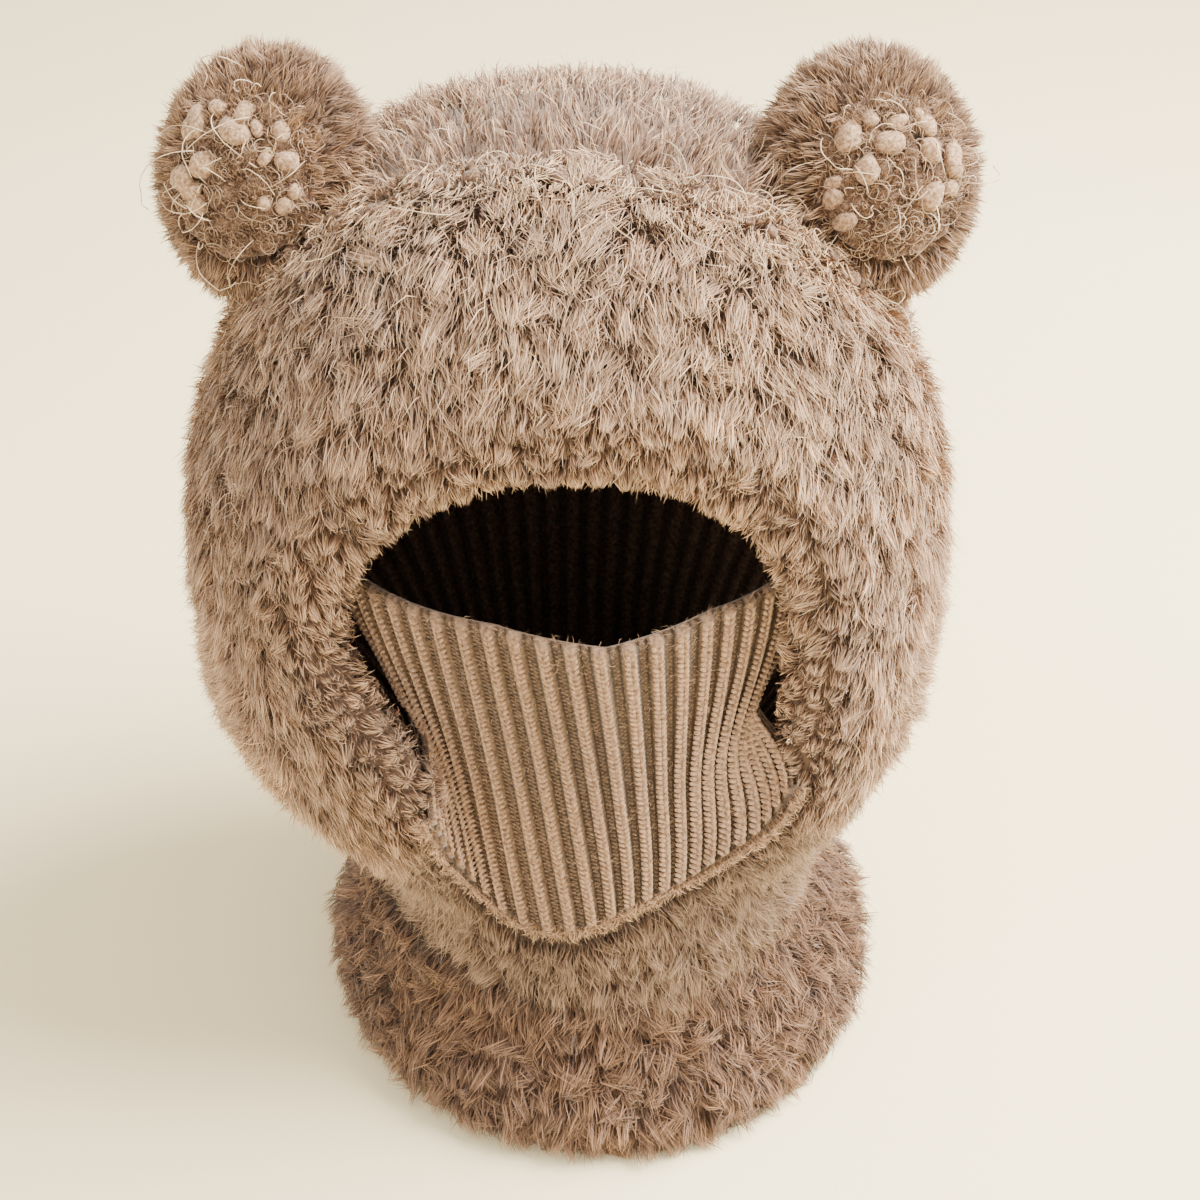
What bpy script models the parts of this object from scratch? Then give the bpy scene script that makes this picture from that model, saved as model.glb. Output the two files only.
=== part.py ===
import math

import bmesh
import bpy
import numpy as np

# A plush knitted animal hood scarf, standing on its flared collar as it does on a table.
# Metres, +Z up, the face opening towards -Y, the origin on the surface under the hood.

# The hood's rounded form, measured from its centre to the fur's base
hood_half_width = 0.1385
hood_front_depth = 0.1200
hood_back_depth = 0.1270
hood_top_rise = 0.1890
hood_bottom_drop = 0.1230
hood_centre_height = 0.2010
hood_squareness = 2.30
crown_wall = 0.0120
band_rim_wall = 0.0230
chin_rim_wall = 0.0120
# The thin rim's half span round the chin, and the span in which it thickens, in degrees
chin_half_span = 45.0
chin_fade = 35.0

# The neck that joins the hood's underside to the collar, and its shift to one side
neck_half_width = 0.0860
neck_depth = 0.1040
neck_shift = 0.0120
waist_height = 0.0640

# The face opening, from its middle to the crest of the fur band's rolled edge
face_opening_half_height = 0.1130

# The fur: locks that stand out of the knitted ground
hood_lock_height = 0.0060
collar_lock_height = 0.0060
ear_lock_height = 0.0040
# Rise between two tips of a row and in the valleys below tips, as shares of a tip's rise
lock_side_share = 0.30
lock_valley_share = 0.10
lock_unevenness = 0.15

# The collar that the hood stands on
collar_half_width = 0.1125
collar_shift_x = 0.0155
collar_shift_y = -0.0080
collar_wall = 0.0160
hem_flat_width = 0.0130

# The round ears and their nubby inner patches
ear_half_width = 0.0345
ear_half_height = 0.0405
ear_half_thickness = 0.0300
ear_stand_off = 0.0165
ear_patch_angle = 44.0
ear_patch_thickness = 0.0050
ear_nub_height = 0.0035
ear_place_angle = 32.0
ear_place_polar = 90.0
ear_tilt_up = 25.0
ear_turn_out = 12.0

# The ribbed lining and face mask, and the cords along the seams
lining_thickness = 0.0028
lining_rib_height = 0.0012
lining_ribs = 30
lining_bend_height = 0.1180
neck_lining_inset = 0.0135
neck_front_share = 0.75
mask_thickness = 0.0028
mask_rib_height = 0.0016
mask_ribs = 25
mask_top_height = 0.2465
mask_top_width_share = 0.78
mask_top_shift = 0.0010
mask_top_curl = 1.32
mask_ends_depth_share = 0.275
mask_bow_share = 0.56
mask_ends_lift = 0.0040
mask_left_angle = 238.0
mask_right_angle = 108.0
mask_tuck = 0.0066
mask_seam_depth = 0.0050
mask_notch_depth = 0.0065
mask_notch_place = 0.10
mask_notch_half_span = 0.33
hood_seam_radius = 0.0032
hood_seam_reach = 39.0
mask_seam_radius = 0.0018
mask_seam_tuck = 0.0010

# Gap kept between neighbouring pieces, and the wider one where two curved walls nest
clearance = 0.0004
nesting_gap = 0.0023

# How sharply the neck's form takes over from the rounded one
neck_blend = 16

hood_columns = 60
collar_columns = 52
ear_columns = 18
hood_seam_steps = 48

# Reach of the rim from the middle of the face opening, as shares of its half height.
# Angles run from the top, clockwise as the hood is seen from the front.
rim_table = (
    # angle, reach
    (0.0, 1.000),
    (20.0, 1.010),
    (42.0, 0.960),
    (60.0, 0.880),
    (76.0, 0.800),
    (92.0, 0.765),
    (108.0, 0.775),
    (122.0, 0.770),
    (136.0, 0.735),
    (152.0, 0.735),
    (168.0, 0.755),
    (184.0, 0.840),
    (195.0, 0.865),
    (204.0, 0.800),
    (214.0, 0.690),
    (232.0, 0.560),
    (254.0, 0.515),
    (272.0, 0.620),
    (288.0, 0.810),
    (304.0, 0.910),
    (320.0, 0.960),
    (342.0, 1.005),
)

# Polar angle of the crown seam from the face axis, in degrees
seam_table = (
    # angle, polar
    (0.0, 77.0),
    (22.0, 75.5),
    (38.0, 78.0),
    (65.0, 86.0),
    (110.0, 92.0),
    (180.0, 96.0),
    (250.0, 92.0),
    (295.0, 86.0),
    (330.0, 79.0),
)

# The collar's outer profile from the table up
collar_table = (
    # share of the waist height, half width as a share of the widest, depth to width
    (0.00, 0.955, 1.07),
    (0.13, 1.000, 1.07),
    (0.31, 1.000, 1.07),
    (0.53, 0.930, 1.08),
    (0.72, 0.850, 1.10),
    (0.88, 0.810, 1.13),
    (1.00, 0.800, 1.15),
)

# The mask from its lower seam to its top edge: how far each side is drawn in, and how far
# the cloth stands in front of the chord between its two ends, as a share of the front depth
mask_table = (
    # share of height, left pinch, right pinch, bulge
    (0.00, 0.00, 0.00, 0.000),
    (0.16, 0.13, 0.08, 0.008),
    (0.34, 0.18, 0.28, 0.000),
    (0.50, 0.14, 0.20, -0.017),
    (0.68, 0.07, 0.08, -0.017),
    (0.85, 0.01, 0.02, 0.000),
    (1.00, 0.00, 0.00, 0.008),
)


def round_trip(angle, table, column=1):
    """Smooth value of a table whose first column is an angle in degrees, all the way round."""
    angles = [row[0] for row in table] + [table[0][0] + 360.0]
    values = [row[column] for row in table] + [table[0][column]]
    angle %= 360.0
    place = max(k for k in range(len(table)) if angles[k] <= angle + 1e-9)
    share = (angle - angles[place]) / (angles[place + 1] - angles[place])
    before = values[place - 1] if place else values[-2]
    after = values[(place + 2) % len(table)]
    low, high = values[place], values[place + 1]
    start_slope = (high - before) / 2
    end_slope = (after - low) / 2
    return (
        low * (1 - 3 * share**2 + 2 * share**3)
        + high * (3 * share**2 - 2 * share**3)
        + start_slope * (share - 2 * share**2 + share**3)
        + end_slope * (share**3 - share**2)
    )


def along(share, table, column):
    """Straight interpolation down a column of a table whose first column is a share."""
    return float(np.interp(share, [row[0] for row in table], [row[column] for row in table]))


def ease(share):
    share = min(1.0, max(0.0, share))
    return share * share * (3 - 2 * share)


def face_direction(angle, polar):
    """Unit vector at an angle round the face axis from the top, and a polar angle from the front."""
    turn, tilt = math.radians(angle), math.radians(polar)
    return np.array(
        [math.sin(tilt) * math.sin(turn), -math.cos(tilt), math.sin(tilt) * math.cos(turn)]
    )


def hood_radius(direction):
    """Distance from the hood's centre to the base of its fur, along a unit vector. Below the
    rounded form, it follows the neck."""
    depth = hood_front_depth if direction[1] < 0 else hood_back_depth
    height = hood_top_rise if direction[2] > 0 else hood_bottom_drop
    total = (
        abs(direction[0] / hood_half_width) ** hood_squareness
        + abs(direction[1] / depth) ** hood_squareness
        + abs(direction[2] / height) ** hood_squareness
    )
    rounded = total ** (-1.0 / hood_squareness)
    if direction[2] >= 0:
        return rounded
    spread = math.hypot(direction[0] / neck_half_width, direction[1] / neck_depth)
    neck = 1.0 / max(spread, 0.5 / hood_centre_height)
    return (rounded**neck_blend + neck**neck_blend) ** (1.0 / neck_blend)


def neck_lean(rise):
    """How far the form is shifted to one side at a height above the hood's centre."""
    return neck_shift * ease(-rise / (hood_centre_height - waist_height)) ** 2


def hood_point(direction, outward=0.0):
    """A point outward from the base of the fur, on the neck that leans to one side."""
    direction = direction / np.linalg.norm(direction)
    offset = direction * (hood_radius(direction) + outward)
    return np.array([neck_lean(offset[2]), 0.0, hood_centre_height]) + offset


def rim_polar(angle):
    """Polar angle of the rim's crest, found from its reach from the face axis."""
    reach = face_opening_half_height * round_trip(angle, rim_table)
    low, high = 5.0, 88.0
    for _ in range(40):
        middle = (low + high) / 2
        direction = face_direction(angle, middle)
        if hood_radius(direction) * math.sin(math.radians(middle)) < reach:
            low = middle
        else:
            high = middle
    return (low + high) / 2


def seam_polar(angle):
    return round_trip(angle, seam_table)


rim_polars = [rim_polar(360.0 * k / hood_columns) for k in range(hood_columns)]


def rim_polar_near(angle):
    """The rim's polar angle between the columns that it was worked out for."""
    place = (angle % 360.0) * hood_columns / 360.0
    first = int(place) % hood_columns
    share = place - int(place)
    return rim_polars[first] * (1 - share) + rim_polars[(first + 1) % hood_columns] * share


def rim_wall(angle):
    """Thickness of the rim, which is thinner below the mask."""
    middle = (mask_left_angle + mask_right_angle) / 2
    away = abs((angle - middle + 180.0) % 360.0 - 180.0)
    thicker = ease((away - chin_half_span) / chin_fade)
    return chin_rim_wall + (band_rim_wall - chin_rim_wall) * thicker


def wall_between(angle, share):
    """Wall thickness from the crown seam, at share 0, to the rim, at share 1."""
    return crown_wall + (rim_wall(angle) - crown_wall) * ease(share)


def wall_at(direction):
    """Thickness of the hood's wall in any direction from its centre."""
    angle = math.degrees(math.atan2(direction[0], direction[2]))
    polar = math.degrees(math.acos(max(-1.0, min(1.0, -direction[1]))))
    rim, seam = rim_polar_near(angle), seam_polar(angle)
    return wall_between(angle, (seam - polar) / (seam - rim))


def lock_rise(row, column, height):
    """Rise of one point of the fur: lock tips in staggered rows, with valleys between."""
    tip_row = row % 2 == 1
    tip_column = (column + row // 2) % 2 == 0
    if tip_row:
        share = 1.0 if tip_column else lock_side_share
    else:
        share = lock_valley_share if tip_column else 0.0
    uneven = lock_unevenness * (math.sin(2.7 * column + 1.9 * row) - 1)
    return height * share * (1 + uneven)


def new_object(name, mesh, colour, roughness):
    part = bpy.data.objects.new(name, mesh)
    part_collection.objects.link(part)
    material = bpy.data.materials.new(name)
    material.use_nodes = True
    surface = material.node_tree.nodes["Principled BSDF"]
    surface.inputs["Base Color"].default_value = (*colour, 1.0)
    surface.inputs["Roughness"].default_value = roughness
    surface.inputs["Metallic"].default_value = 0.0
    mesh.materials.append(material)
    return part


def loft(name, rings, first_pole=None, last_pole=None, loops_back=False, is_panel=False):
    """Skins rings of as many points each with triangles, which split every piece of a
    wall the same way. A pole closes an end with a fan, and loops_back joins the last
    ring to the first. A panel's rings are open rows, up its front and then down its back,
    and its two side edges are closed between them."""
    mesh = bpy.data.meshes.new(name)
    shape = bmesh.new()
    grid = [[shape.verts.new(point) for point in ring] for ring in rings]
    count = len(rings[0])
    steps = count - 1 if is_panel else count
    pairs = list(zip(grid, grid[1:])) + ([(grid[-1], grid[0])] if loops_back else [])
    for lower, upper in pairs:
        for k in range(steps):
            nxt = (k + 1) % count
            if k % 2:
                shape.faces.new((lower[k], lower[nxt], upper[nxt]))
                shape.faces.new((lower[k], upper[nxt], upper[k]))
            else:
                shape.faces.new((lower[k], lower[nxt], upper[k]))
                shape.faces.new((lower[nxt], upper[nxt], upper[k]))
    for k in (0, count - 1) if is_panel else ():
        for row in range(len(grid) // 2 - 1):
            shape.faces.new((grid[row][k], grid[row + 1][k], grid[-2 - row][k], grid[-1 - row][k]))
    for pole, ring in ((first_pole, grid[0]), (last_pole, grid[-1])):
        if pole is not None:
            tip = shape.verts.new(pole)
            for k in range(steps):
                shape.faces.new((ring[k], ring[(k + 1) % count], tip))
    bmesh.ops.recalc_face_normals(shape, faces=shape.faces)
    shape.to_mesh(mesh)
    shape.free()
    mesh.shade_smooth()
    return mesh


def add_cut(part, cutter):
    cut = part.modifiers.new("Cut", "BOOLEAN")
    cut.operation = "DIFFERENCE"
    cut.solver = "EXACT"
    cut.object = cutter


def add_wall(part, thickness, offset):
    wall = part.modifiers.new("Wall", "SOLIDIFY")
    wall.thickness = thickness
    wall.offset = offset
    wall.use_even_offset = False


def new_cutter(name, mesh):
    cutter = bpy.data.objects.new(name, mesh)
    cutter_collection.objects.link(cutter)
    cutter.hide_render = True
    cutter.display_type = "WIRE"
    return cutter


def hood_rings(shares, from_polar, to_polar, outward):
    """Rings round the face axis, at shares of the way between two polar angles."""
    rings = []
    for row, share in enumerate(shares):
        ring = []
        for column in range(hood_columns):
            angle = 360.0 * column / hood_columns
            low, high = from_polar(column, angle), to_polar(column, angle)
            polar = low + (high - low) * share
            direction = face_direction(angle, polar)
            ring.append(hood_point(direction, outward(row, column, direction, share)))
        rings.append(ring)
    return rings


band_shares = (0.0, 0.12, 0.26, 0.40, 0.54, 0.68, 0.82, 0.94)
crown_shares = (0.0, 0.12, 0.25, 0.38, 0.51, 0.64, 0.77, 0.89)


def seam_edge(side):
    """The polar angle of the band's or crown's edge at the seam, half a gap from it."""
    half_gap = math.degrees(clearance / 2 / hood_front_depth)
    return lambda column, angle: seam_polar(angle) + side * half_gap


def nose_start(column, angle):
    """Where the rolled rim begins to turn in, half its thickness behind its crest."""
    turn = math.degrees(rim_wall(angle) / 2 / hood_front_depth)
    return rim_polars[column] + turn


def band_locks(row, column, direction, share):
    return lock_rise(row, column, hood_lock_height) if 0 < row else 0.0


def crown_locks(row, column, direction, share):
    fade = ease((0.92 - share) / 0.20)
    return fade * lock_rise(row, column + 1, hood_lock_height) if 0 < row else 0.0


def band_form(name, grown):
    """The band's mesh, grown all round by a gap for the cutter that trims the mask."""
    outer = hood_rings(
        band_shares,
        seam_edge(-1),
        nose_start,
        lambda row, column, direction, share: band_locks(row, column, direction, share) + grown,
    )
    nose = []
    for row, turn in enumerate((35.0, 90.0, 145.0)):
        ring = []
        for column in range(hood_columns):
            angle = 360.0 * column / hood_columns
            half_wall = rim_wall(angle) / 2
            reach = (half_wall + grown) * math.sin(math.radians(turn))
            polar = nose_start(column, angle) - math.degrees(reach / hood_front_depth)
            rise = (half_wall + grown) * math.cos(math.radians(turn)) - half_wall
            rise += lock_rise(row, column, hood_lock_height * 0.5) if row == 1 else 0.0
            ring.append(hood_point(face_direction(angle, polar), rise))
        nose.append(ring)
    inner = hood_rings(
        (1.0, 0.80, 0.60, 0.40, 0.20, 0.0),
        seam_edge(-1),
        nose_start,
        lambda row, column, direction, share: -grown
        - wall_between(360.0 * column / hood_columns, share),
    )
    return loft(name, outer + nose + inner, loops_back=True)


def front_band():
    """The thick fur band that frames the face, rolled in at its rim."""
    mesh = band_form("front_band", 0.0)
    part = new_object("front_band", mesh, (0.46, 0.34, 0.26), 0.95)
    add_cut(part, waist_cutter)


def crown():
    """The back of the hood, from the seam to the nape."""
    def back(column, angle):
        return 180.0

    outer = hood_rings(crown_shares, seam_edge(1), back, crown_locks)
    inner = hood_rings(
        (0.88, 0.74, 0.60, 0.46, 0.33, 0.22, 0.11, 0.0),
        seam_edge(1),
        back,
        lambda row, column, direction, share: -crown_wall,
    )
    pole = face_direction(0.0, 180.0)
    mesh = loft(
        "crown",
        outer[::-1] + inner[::-1],
        first_pole=hood_point(pole),
        last_pole=hood_point(pole, -crown_wall),
    )
    part = new_object("crown", mesh, (0.46, 0.34, 0.26), 0.95)
    add_cut(part, waist_cutter)


def hood_form_cutter():
    """The hood's whole outside with its locks, a gap larger, for cutting what sits on it."""
    def grown(locks):
        return lambda row, column, direction, share: locks(row, column, direction, share) + clearance

    band_rings = hood_rings(band_shares, seam_edge(-1), nose_start, grown(band_locks))
    crown_rings = hood_rings(crown_shares, seam_edge(1), lambda c, a: 180.0, grown(crown_locks))
    mesh = loft(
        "hood_form",
        crown_rings[::-1] + band_rings,
        first_pole=hood_point(face_direction(0.0, 180.0), clearance),
        last_pole=hood_point(face_direction(0.0, 0.0)),
    )
    return new_cutter("hood_form", mesh)


def box_below(name, height):
    """Everything below a height, to cut a piece off level."""
    mesh = bpy.data.meshes.new(name)
    shape = bmesh.new()
    bmesh.ops.create_cube(shape, size=1.0)
    shape.to_mesh(mesh)
    shape.free()
    span = 4 * hood_half_width
    box = new_cutter(name, mesh)
    box.scale = (span, span, span)
    box.location = (0.0, 0.0, height - span / 2)
    return box


def face_prism():
    """The face opening carried straight back through the lining."""
    rings = []
    for depth in (-2 * hood_front_depth, -0.15 * hood_front_depth):
        ring = []
        for column in range(hood_columns):
            crest = hood_point(face_direction(360.0 * column / hood_columns, rim_polars[column]))
            ring.append((crest[0], depth, crest[2]))
        rings.append(ring)
    middle = (0.0, 0.0, hood_centre_height)
    mesh = loft(
        "face_prism",
        rings,
        first_pole=(middle[0], rings[0][0][1], middle[2]),
        last_pole=(middle[0], rings[1][0][1], middle[2]),
    )
    return new_cutter("face_prism", mesh)


def upright_direction(azimuth, latitude):
    """Unit vector at an azimuth from the front round the vertical, and a latitude."""
    turn, tilt = math.radians(azimuth), math.radians(latitude)
    return np.array(
        [math.cos(tilt) * math.sin(turn), -math.cos(tilt) * math.cos(turn), math.sin(tilt)]
    )


def lining():
    """The ribbed inner tube, gathered at the top of the head and straight down the neck."""
    columns = 2 * lining_ribs

    def rib(column, latitude):
        return lining_rib_height * (column % 2) * math.cos(math.radians(latitude))

    rings = []
    for height in (0.5 * waist_height, lining_bend_height):
        ring = []
        for column in range(columns):
            turn = math.radians(360.0 * column / columns)
            thicker = 1 + neck_front_share * max(0.0, math.cos(turn))
            inset = neck_lining_inset * thicker + rib(column, 0.0)
            ring.append((
                neck_lean(height - hood_centre_height) + (neck_half_width - inset) * math.sin(turn),
                (inset - neck_depth) * math.cos(turn),
                height,
            ))
        rings.append(ring)
    for latitude in (-8.0, 10.0, 28.0, 46.0, 64.0, 79.0):
        ring = []
        for column in range(columns):
            direction = upright_direction(360.0 * column / columns, latitude)
            depth = wall_at(direction) + nesting_gap + rib(column, latitude)
            ring.append(hood_point(direction, -depth))
        rings.append(ring)
    top = np.array([0.0, 0.0, 1.0])
    mesh = loft("lining", rings, last_pole=hood_point(top, -wall_at(top) - nesting_gap))
    part = new_object("lining", mesh, (0.30, 0.22, 0.16), 0.9)
    add_wall(part, lining_thickness, -1.0)
    add_cut(part, waist_cutter)
    add_cut(part, face_cutter)


def collar():
    """The flared collar, a thick tube that the hood stands on."""
    top = waist_height - clearance

    def ring_at(share, wall, rise_of):
        settle = 1 - 0.5 * ease(share)
        half_width = collar_half_width * along(share, collar_table, 1) - wall
        depth = collar_half_width * along(share, collar_table, 1) * along(share, collar_table, 2) - wall
        ring = []
        for column in range(collar_columns):
            turn = math.radians(360.0 * column / collar_columns)
            rise = rise_of(column)
            ring.append((
                collar_shift_x * settle + (half_width + rise) * math.sin(turn),
                collar_shift_y * settle - (depth + rise) * math.cos(turn),
                share * top,
            ))
        return ring

    outer = []
    for row, (share, _, _) in enumerate(collar_table):
        locks = 0.0 if row in (0, len(collar_table) - 1) else collar_lock_height
        outer.append(ring_at(share, 0.0, lambda column: lock_rise(row, column, locks)))
    inner = [ring_at(share, collar_wall, lambda column: 0.0) for share in (1.0, 0.80, 0.55, 0.25)]
    foot = ring_at(0.0, hem_flat_width, lambda column: 0.0)
    mesh = loft("collar", outer + inner + [foot], loops_back=True)
    new_object("collar", mesh, (0.44, 0.32, 0.25), 0.95)


def ear_frame(side):
    """The ear's centre and its own right, up and forward axes."""
    direction = face_direction(side * ear_place_angle, ear_place_polar)
    middle = hood_point(direction, ear_stand_off)
    tilt, turn = math.radians(ear_tilt_up), math.radians(ear_turn_out) * side
    forward = np.array([
        math.sin(turn) * math.cos(tilt), -math.cos(turn) * math.cos(tilt), math.sin(tilt)
    ])
    right = np.cross(forward, np.array([0.0, 0.0, 1.0]))
    right /= np.linalg.norm(right)
    up = np.cross(right, forward)
    return middle, right, up, forward


def ear_ring(side, polar, outward):
    """A ring of points round the ear's forward axis."""
    middle, right, up, forward = ear_frame(side)
    tilt = math.radians(polar)
    ring = []
    for column in range(ear_columns):
        turn = math.radians(360.0 * column / ear_columns)
        parts = (math.sin(tilt) * math.sin(turn), math.sin(tilt) * math.cos(turn), math.cos(tilt))
        radius = 1.0 / math.sqrt(
            (parts[0] / ear_half_width) ** 2
            + (parts[1] / ear_half_height) ** 2
            + (parts[2] / ear_half_thickness) ** 2
        ) + outward(column)
        ring.append(middle + radius * (parts[0] * right + parts[1] * up + parts[2] * forward))
    return ring


patch_steps = tuple(ear_patch_angle * share for share in (0.34, 0.68, 1.0))


def ear(side, name):
    """A plump fur ear, hollowed where it sits on the hood."""
    polars = patch_steps + (58.0, 74.0, 90.0, 106.0, 122.0, 138.0, 156.0)
    rings = [
        ear_ring(
            side,
            polar,
            lambda column: lock_rise(row, column, ear_lock_height) if row > 2 else 0.0,
        )
        for row, polar in enumerate(polars)
    ]
    middle, _, _, forward = ear_frame(side)
    mesh = loft(
        name,
        rings,
        first_pole=middle + forward * ear_half_thickness,
        last_pole=middle - forward * ear_half_thickness,
    )
    part = new_object(name, mesh, (0.42, 0.31, 0.25), 0.95)
    add_cut(part, form_cutter)
    add_cut(part, groove_cutter)


def ear_patch(side, name):
    """The patch of nubby loops on the front of an ear."""
    def nubs(row):
        return lambda column: clearance + ear_patch_thickness + ear_nub_height * (
            0.5 + 0.5 * math.sin(2.1 * column + 2.4 * row) * (1 if (column + row) % 2 else -1)
        )

    outer = [ear_ring(side, polar, nubs(row)) for row, polar in enumerate(patch_steps[:2])]
    edge = [ear_ring(side, patch_steps[2], lambda column: clearance + 0.6 * ear_patch_thickness)]
    inner = [ear_ring(side, polar, lambda column: clearance) for polar in patch_steps[::-1]]
    middle, _, _, forward = ear_frame(side)
    mesh = loft(
        name,
        outer + edge + inner,
        first_pole=middle + forward * (ear_half_thickness + clearance + ear_patch_thickness),
        last_pole=middle + forward * (ear_half_thickness + clearance),
    )
    new_object(name, mesh, (0.50, 0.42, 0.34), 0.9)


def mask_low_point(across, tuck, outward):
    """A point along the mask's lower edge, tucked past the rim's crest by a distance."""
    middle = (mask_left_angle + mask_right_angle) / 2
    angle = middle - across * (mask_left_angle - mask_right_angle) / 2
    polar = rim_polar_near(angle) + math.degrees(tuck / hood_front_depth)
    return hood_point(face_direction(angle, polar), outward)


def mask_point(across, share):
    """A point of the mask. across runs from -1 at the left to 1, share from seam to top."""
    low = mask_low_point(across, mask_tuck, -mask_seam_depth)
    top_half_width = mask_top_width_share * face_opening_half_height
    curl = mask_top_curl * across
    depth_share = mask_ends_depth_share + mask_bow_share * math.cos(curl)
    notch = mask_notch_depth * max(0.0, 1 - abs(across - mask_notch_place) / mask_notch_half_span)
    top = np.array([
        mask_top_shift + top_half_width * math.sin(curl) / math.sin(mask_top_curl),
        -depth_share * hood_front_depth - notch,
        mask_top_height + mask_ends_lift * across**2 - notch / 2,
    ])
    point = low + (top - low) * share
    pinch = along(share, mask_table, 1 if across < 0 else 2) * abs(across) ** 1.5
    point[0] *= 1 - pinch
    point[1] -= along(share, mask_table, 3) * hood_front_depth
    return point


def mask_normal(across, share):
    """The mask's outward direction, from points a small step away on each side."""
    step = 0.02
    sideways = mask_point(across + step, share) - mask_point(across - step, share)
    upward = mask_point(across, share + step) - mask_point(across, share - step)
    normal = np.cross(sideways, upward)
    return normal / np.linalg.norm(normal)


def face_mask():
    """The ribbed mask, sewn to the fur along its lower edge and open at the top."""
    columns = 2 * mask_ribs
    front, back = [], []
    for share in (0.0, 0.16, 0.34, 0.50, 0.68, 0.85, 1.0):
        points = [mask_point(2.0 * k / columns - 1.0, share) for k in range(columns + 1)]
        normals = [mask_normal(2.0 * k / columns - 1.0, share) for k in range(columns + 1)]
        half = mask_thickness / 2
        front.append([
            point + normal * (half + mask_rib_height * (k % 2))
            for k, (point, normal) in enumerate(zip(points, normals))
        ])
        back.append([point - normal * half for point, normal in zip(points, normals)])
    mesh = loft("face_mask", front + back[::-1], loops_back=True, is_panel=True)
    part = new_object("face_mask", mesh, (0.52, 0.38, 0.27), 0.85)
    add_cut(part, band_cutter)


def tube(name, points, radii, sides):
    """A closed tube along points, with a radius at each."""
    points = np.array(points)
    tangents = np.gradient(points, axis=0)
    rings = []
    for point, tangent, radius in zip(points, tangents, radii):
        tangent = tangent / np.linalg.norm(tangent)
        across = np.cross(tangent, np.array([0.0, 1.0, 0.0]))
        across /= np.linalg.norm(across)
        other = np.cross(tangent, across)
        turns = [math.radians(360.0 * k / sides) for k in range(sides)]
        rings.append([point + radius * (math.cos(t) * across + math.sin(t) * other) for t in turns])
    return loft(name, rings, first_pole=points[0], last_pole=points[-1])


def hood_seam_path(reach):
    """Points on the ridge where the band meets the crown, to an angle each way from the top."""
    points = []
    for step in range(hood_seam_steps + 1):
        angle = reach * (2.0 * step / hood_seam_steps - 1.0)
        direction = face_direction(angle, seam_polar(angle))
        points.append(hood_point(direction, hood_seam_radius + 2 * clearance))
    return points


def seam_groove():
    """The room that the hood seam takes out of the ears, a gap wider than the cord."""
    points = hood_seam_path(hood_seam_reach + 3.0)
    radii = [hood_seam_radius + clearance] * len(points)
    return new_cutter("seam_groove", tube("seam_groove", points, radii, 8))


def hood_seam():
    """The nubby cord along the join of the band and the crown, from ear to ear."""
    radii = []
    for step in range(hood_seam_steps + 1):
        end = abs(2.0 * step / hood_seam_steps - 1.0)
        taper = math.sqrt(max(0.15, 1 - end**8))
        radii.append(hood_seam_radius * taper * (1.0 if step % 2 else 0.78))
    mesh = tube("hood_seam", hood_seam_path(hood_seam_reach), radii, 8)
    new_object("hood_seam", mesh, (0.55, 0.45, 0.36), 0.9)


def mask_seam():
    """The binding cord in the corner between the mask's lower edge and the fur."""
    steps = 34
    front_of_ribs = mask_thickness / 2 + mask_rib_height - mask_seam_depth
    outward = front_of_ribs + 3 * clearance + mask_seam_radius
    points, radii = [], []
    for step in range(steps + 1):
        points.append(mask_low_point(2.0 * step / steps - 1.0, mask_seam_tuck, outward))
        radii.append(mask_seam_radius * (1.0 if step % 2 else 0.85))
    new_object("mask_seam", tube("mask_seam", points, radii, 6), (0.50, 0.37, 0.27), 0.9)


def centre_on_origin():
    """Moves everything so that the outline, seen from above, is centred on the origin."""
    points = np.array([vert.co for part in part_collection.objects for vert in part.data.vertices])
    middle = (points.min(axis=0) + points.max(axis=0)) / 2
    for thing in list(part_collection.objects) + list(cutter_collection.objects):
        thing.location.x -= middle[0]
        thing.location.y -= middle[1]


for old in list(bpy.data.objects):
    bpy.data.objects.remove(old)
part_collection = bpy.data.collections.new("animal_hood_scarf")
cutter_collection = bpy.data.collections.new("cutters")
bpy.context.scene.collection.children.link(part_collection)
bpy.context.scene.collection.children.link(cutter_collection)

waist_cutter = box_below("waist_box", waist_height)
face_cutter = face_prism()
form_cutter = hood_form_cutter()
groove_cutter = seam_groove()
band_cutter = new_cutter("band_form", band_form("band_form", clearance))

collar()
crown()
front_band()
lining()
face_mask()
mask_seam()
hood_seam()
for side, word in ((-1, "left"), (1, "right")):
    ear(side, "ear_" + word)
    ear_patch(side, "ear_patch_" + word)
centre_on_origin()
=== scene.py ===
import math

import bmesh
import bpy
import numpy as np
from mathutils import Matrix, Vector
from mathutils.kdtree import KDTree


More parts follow.
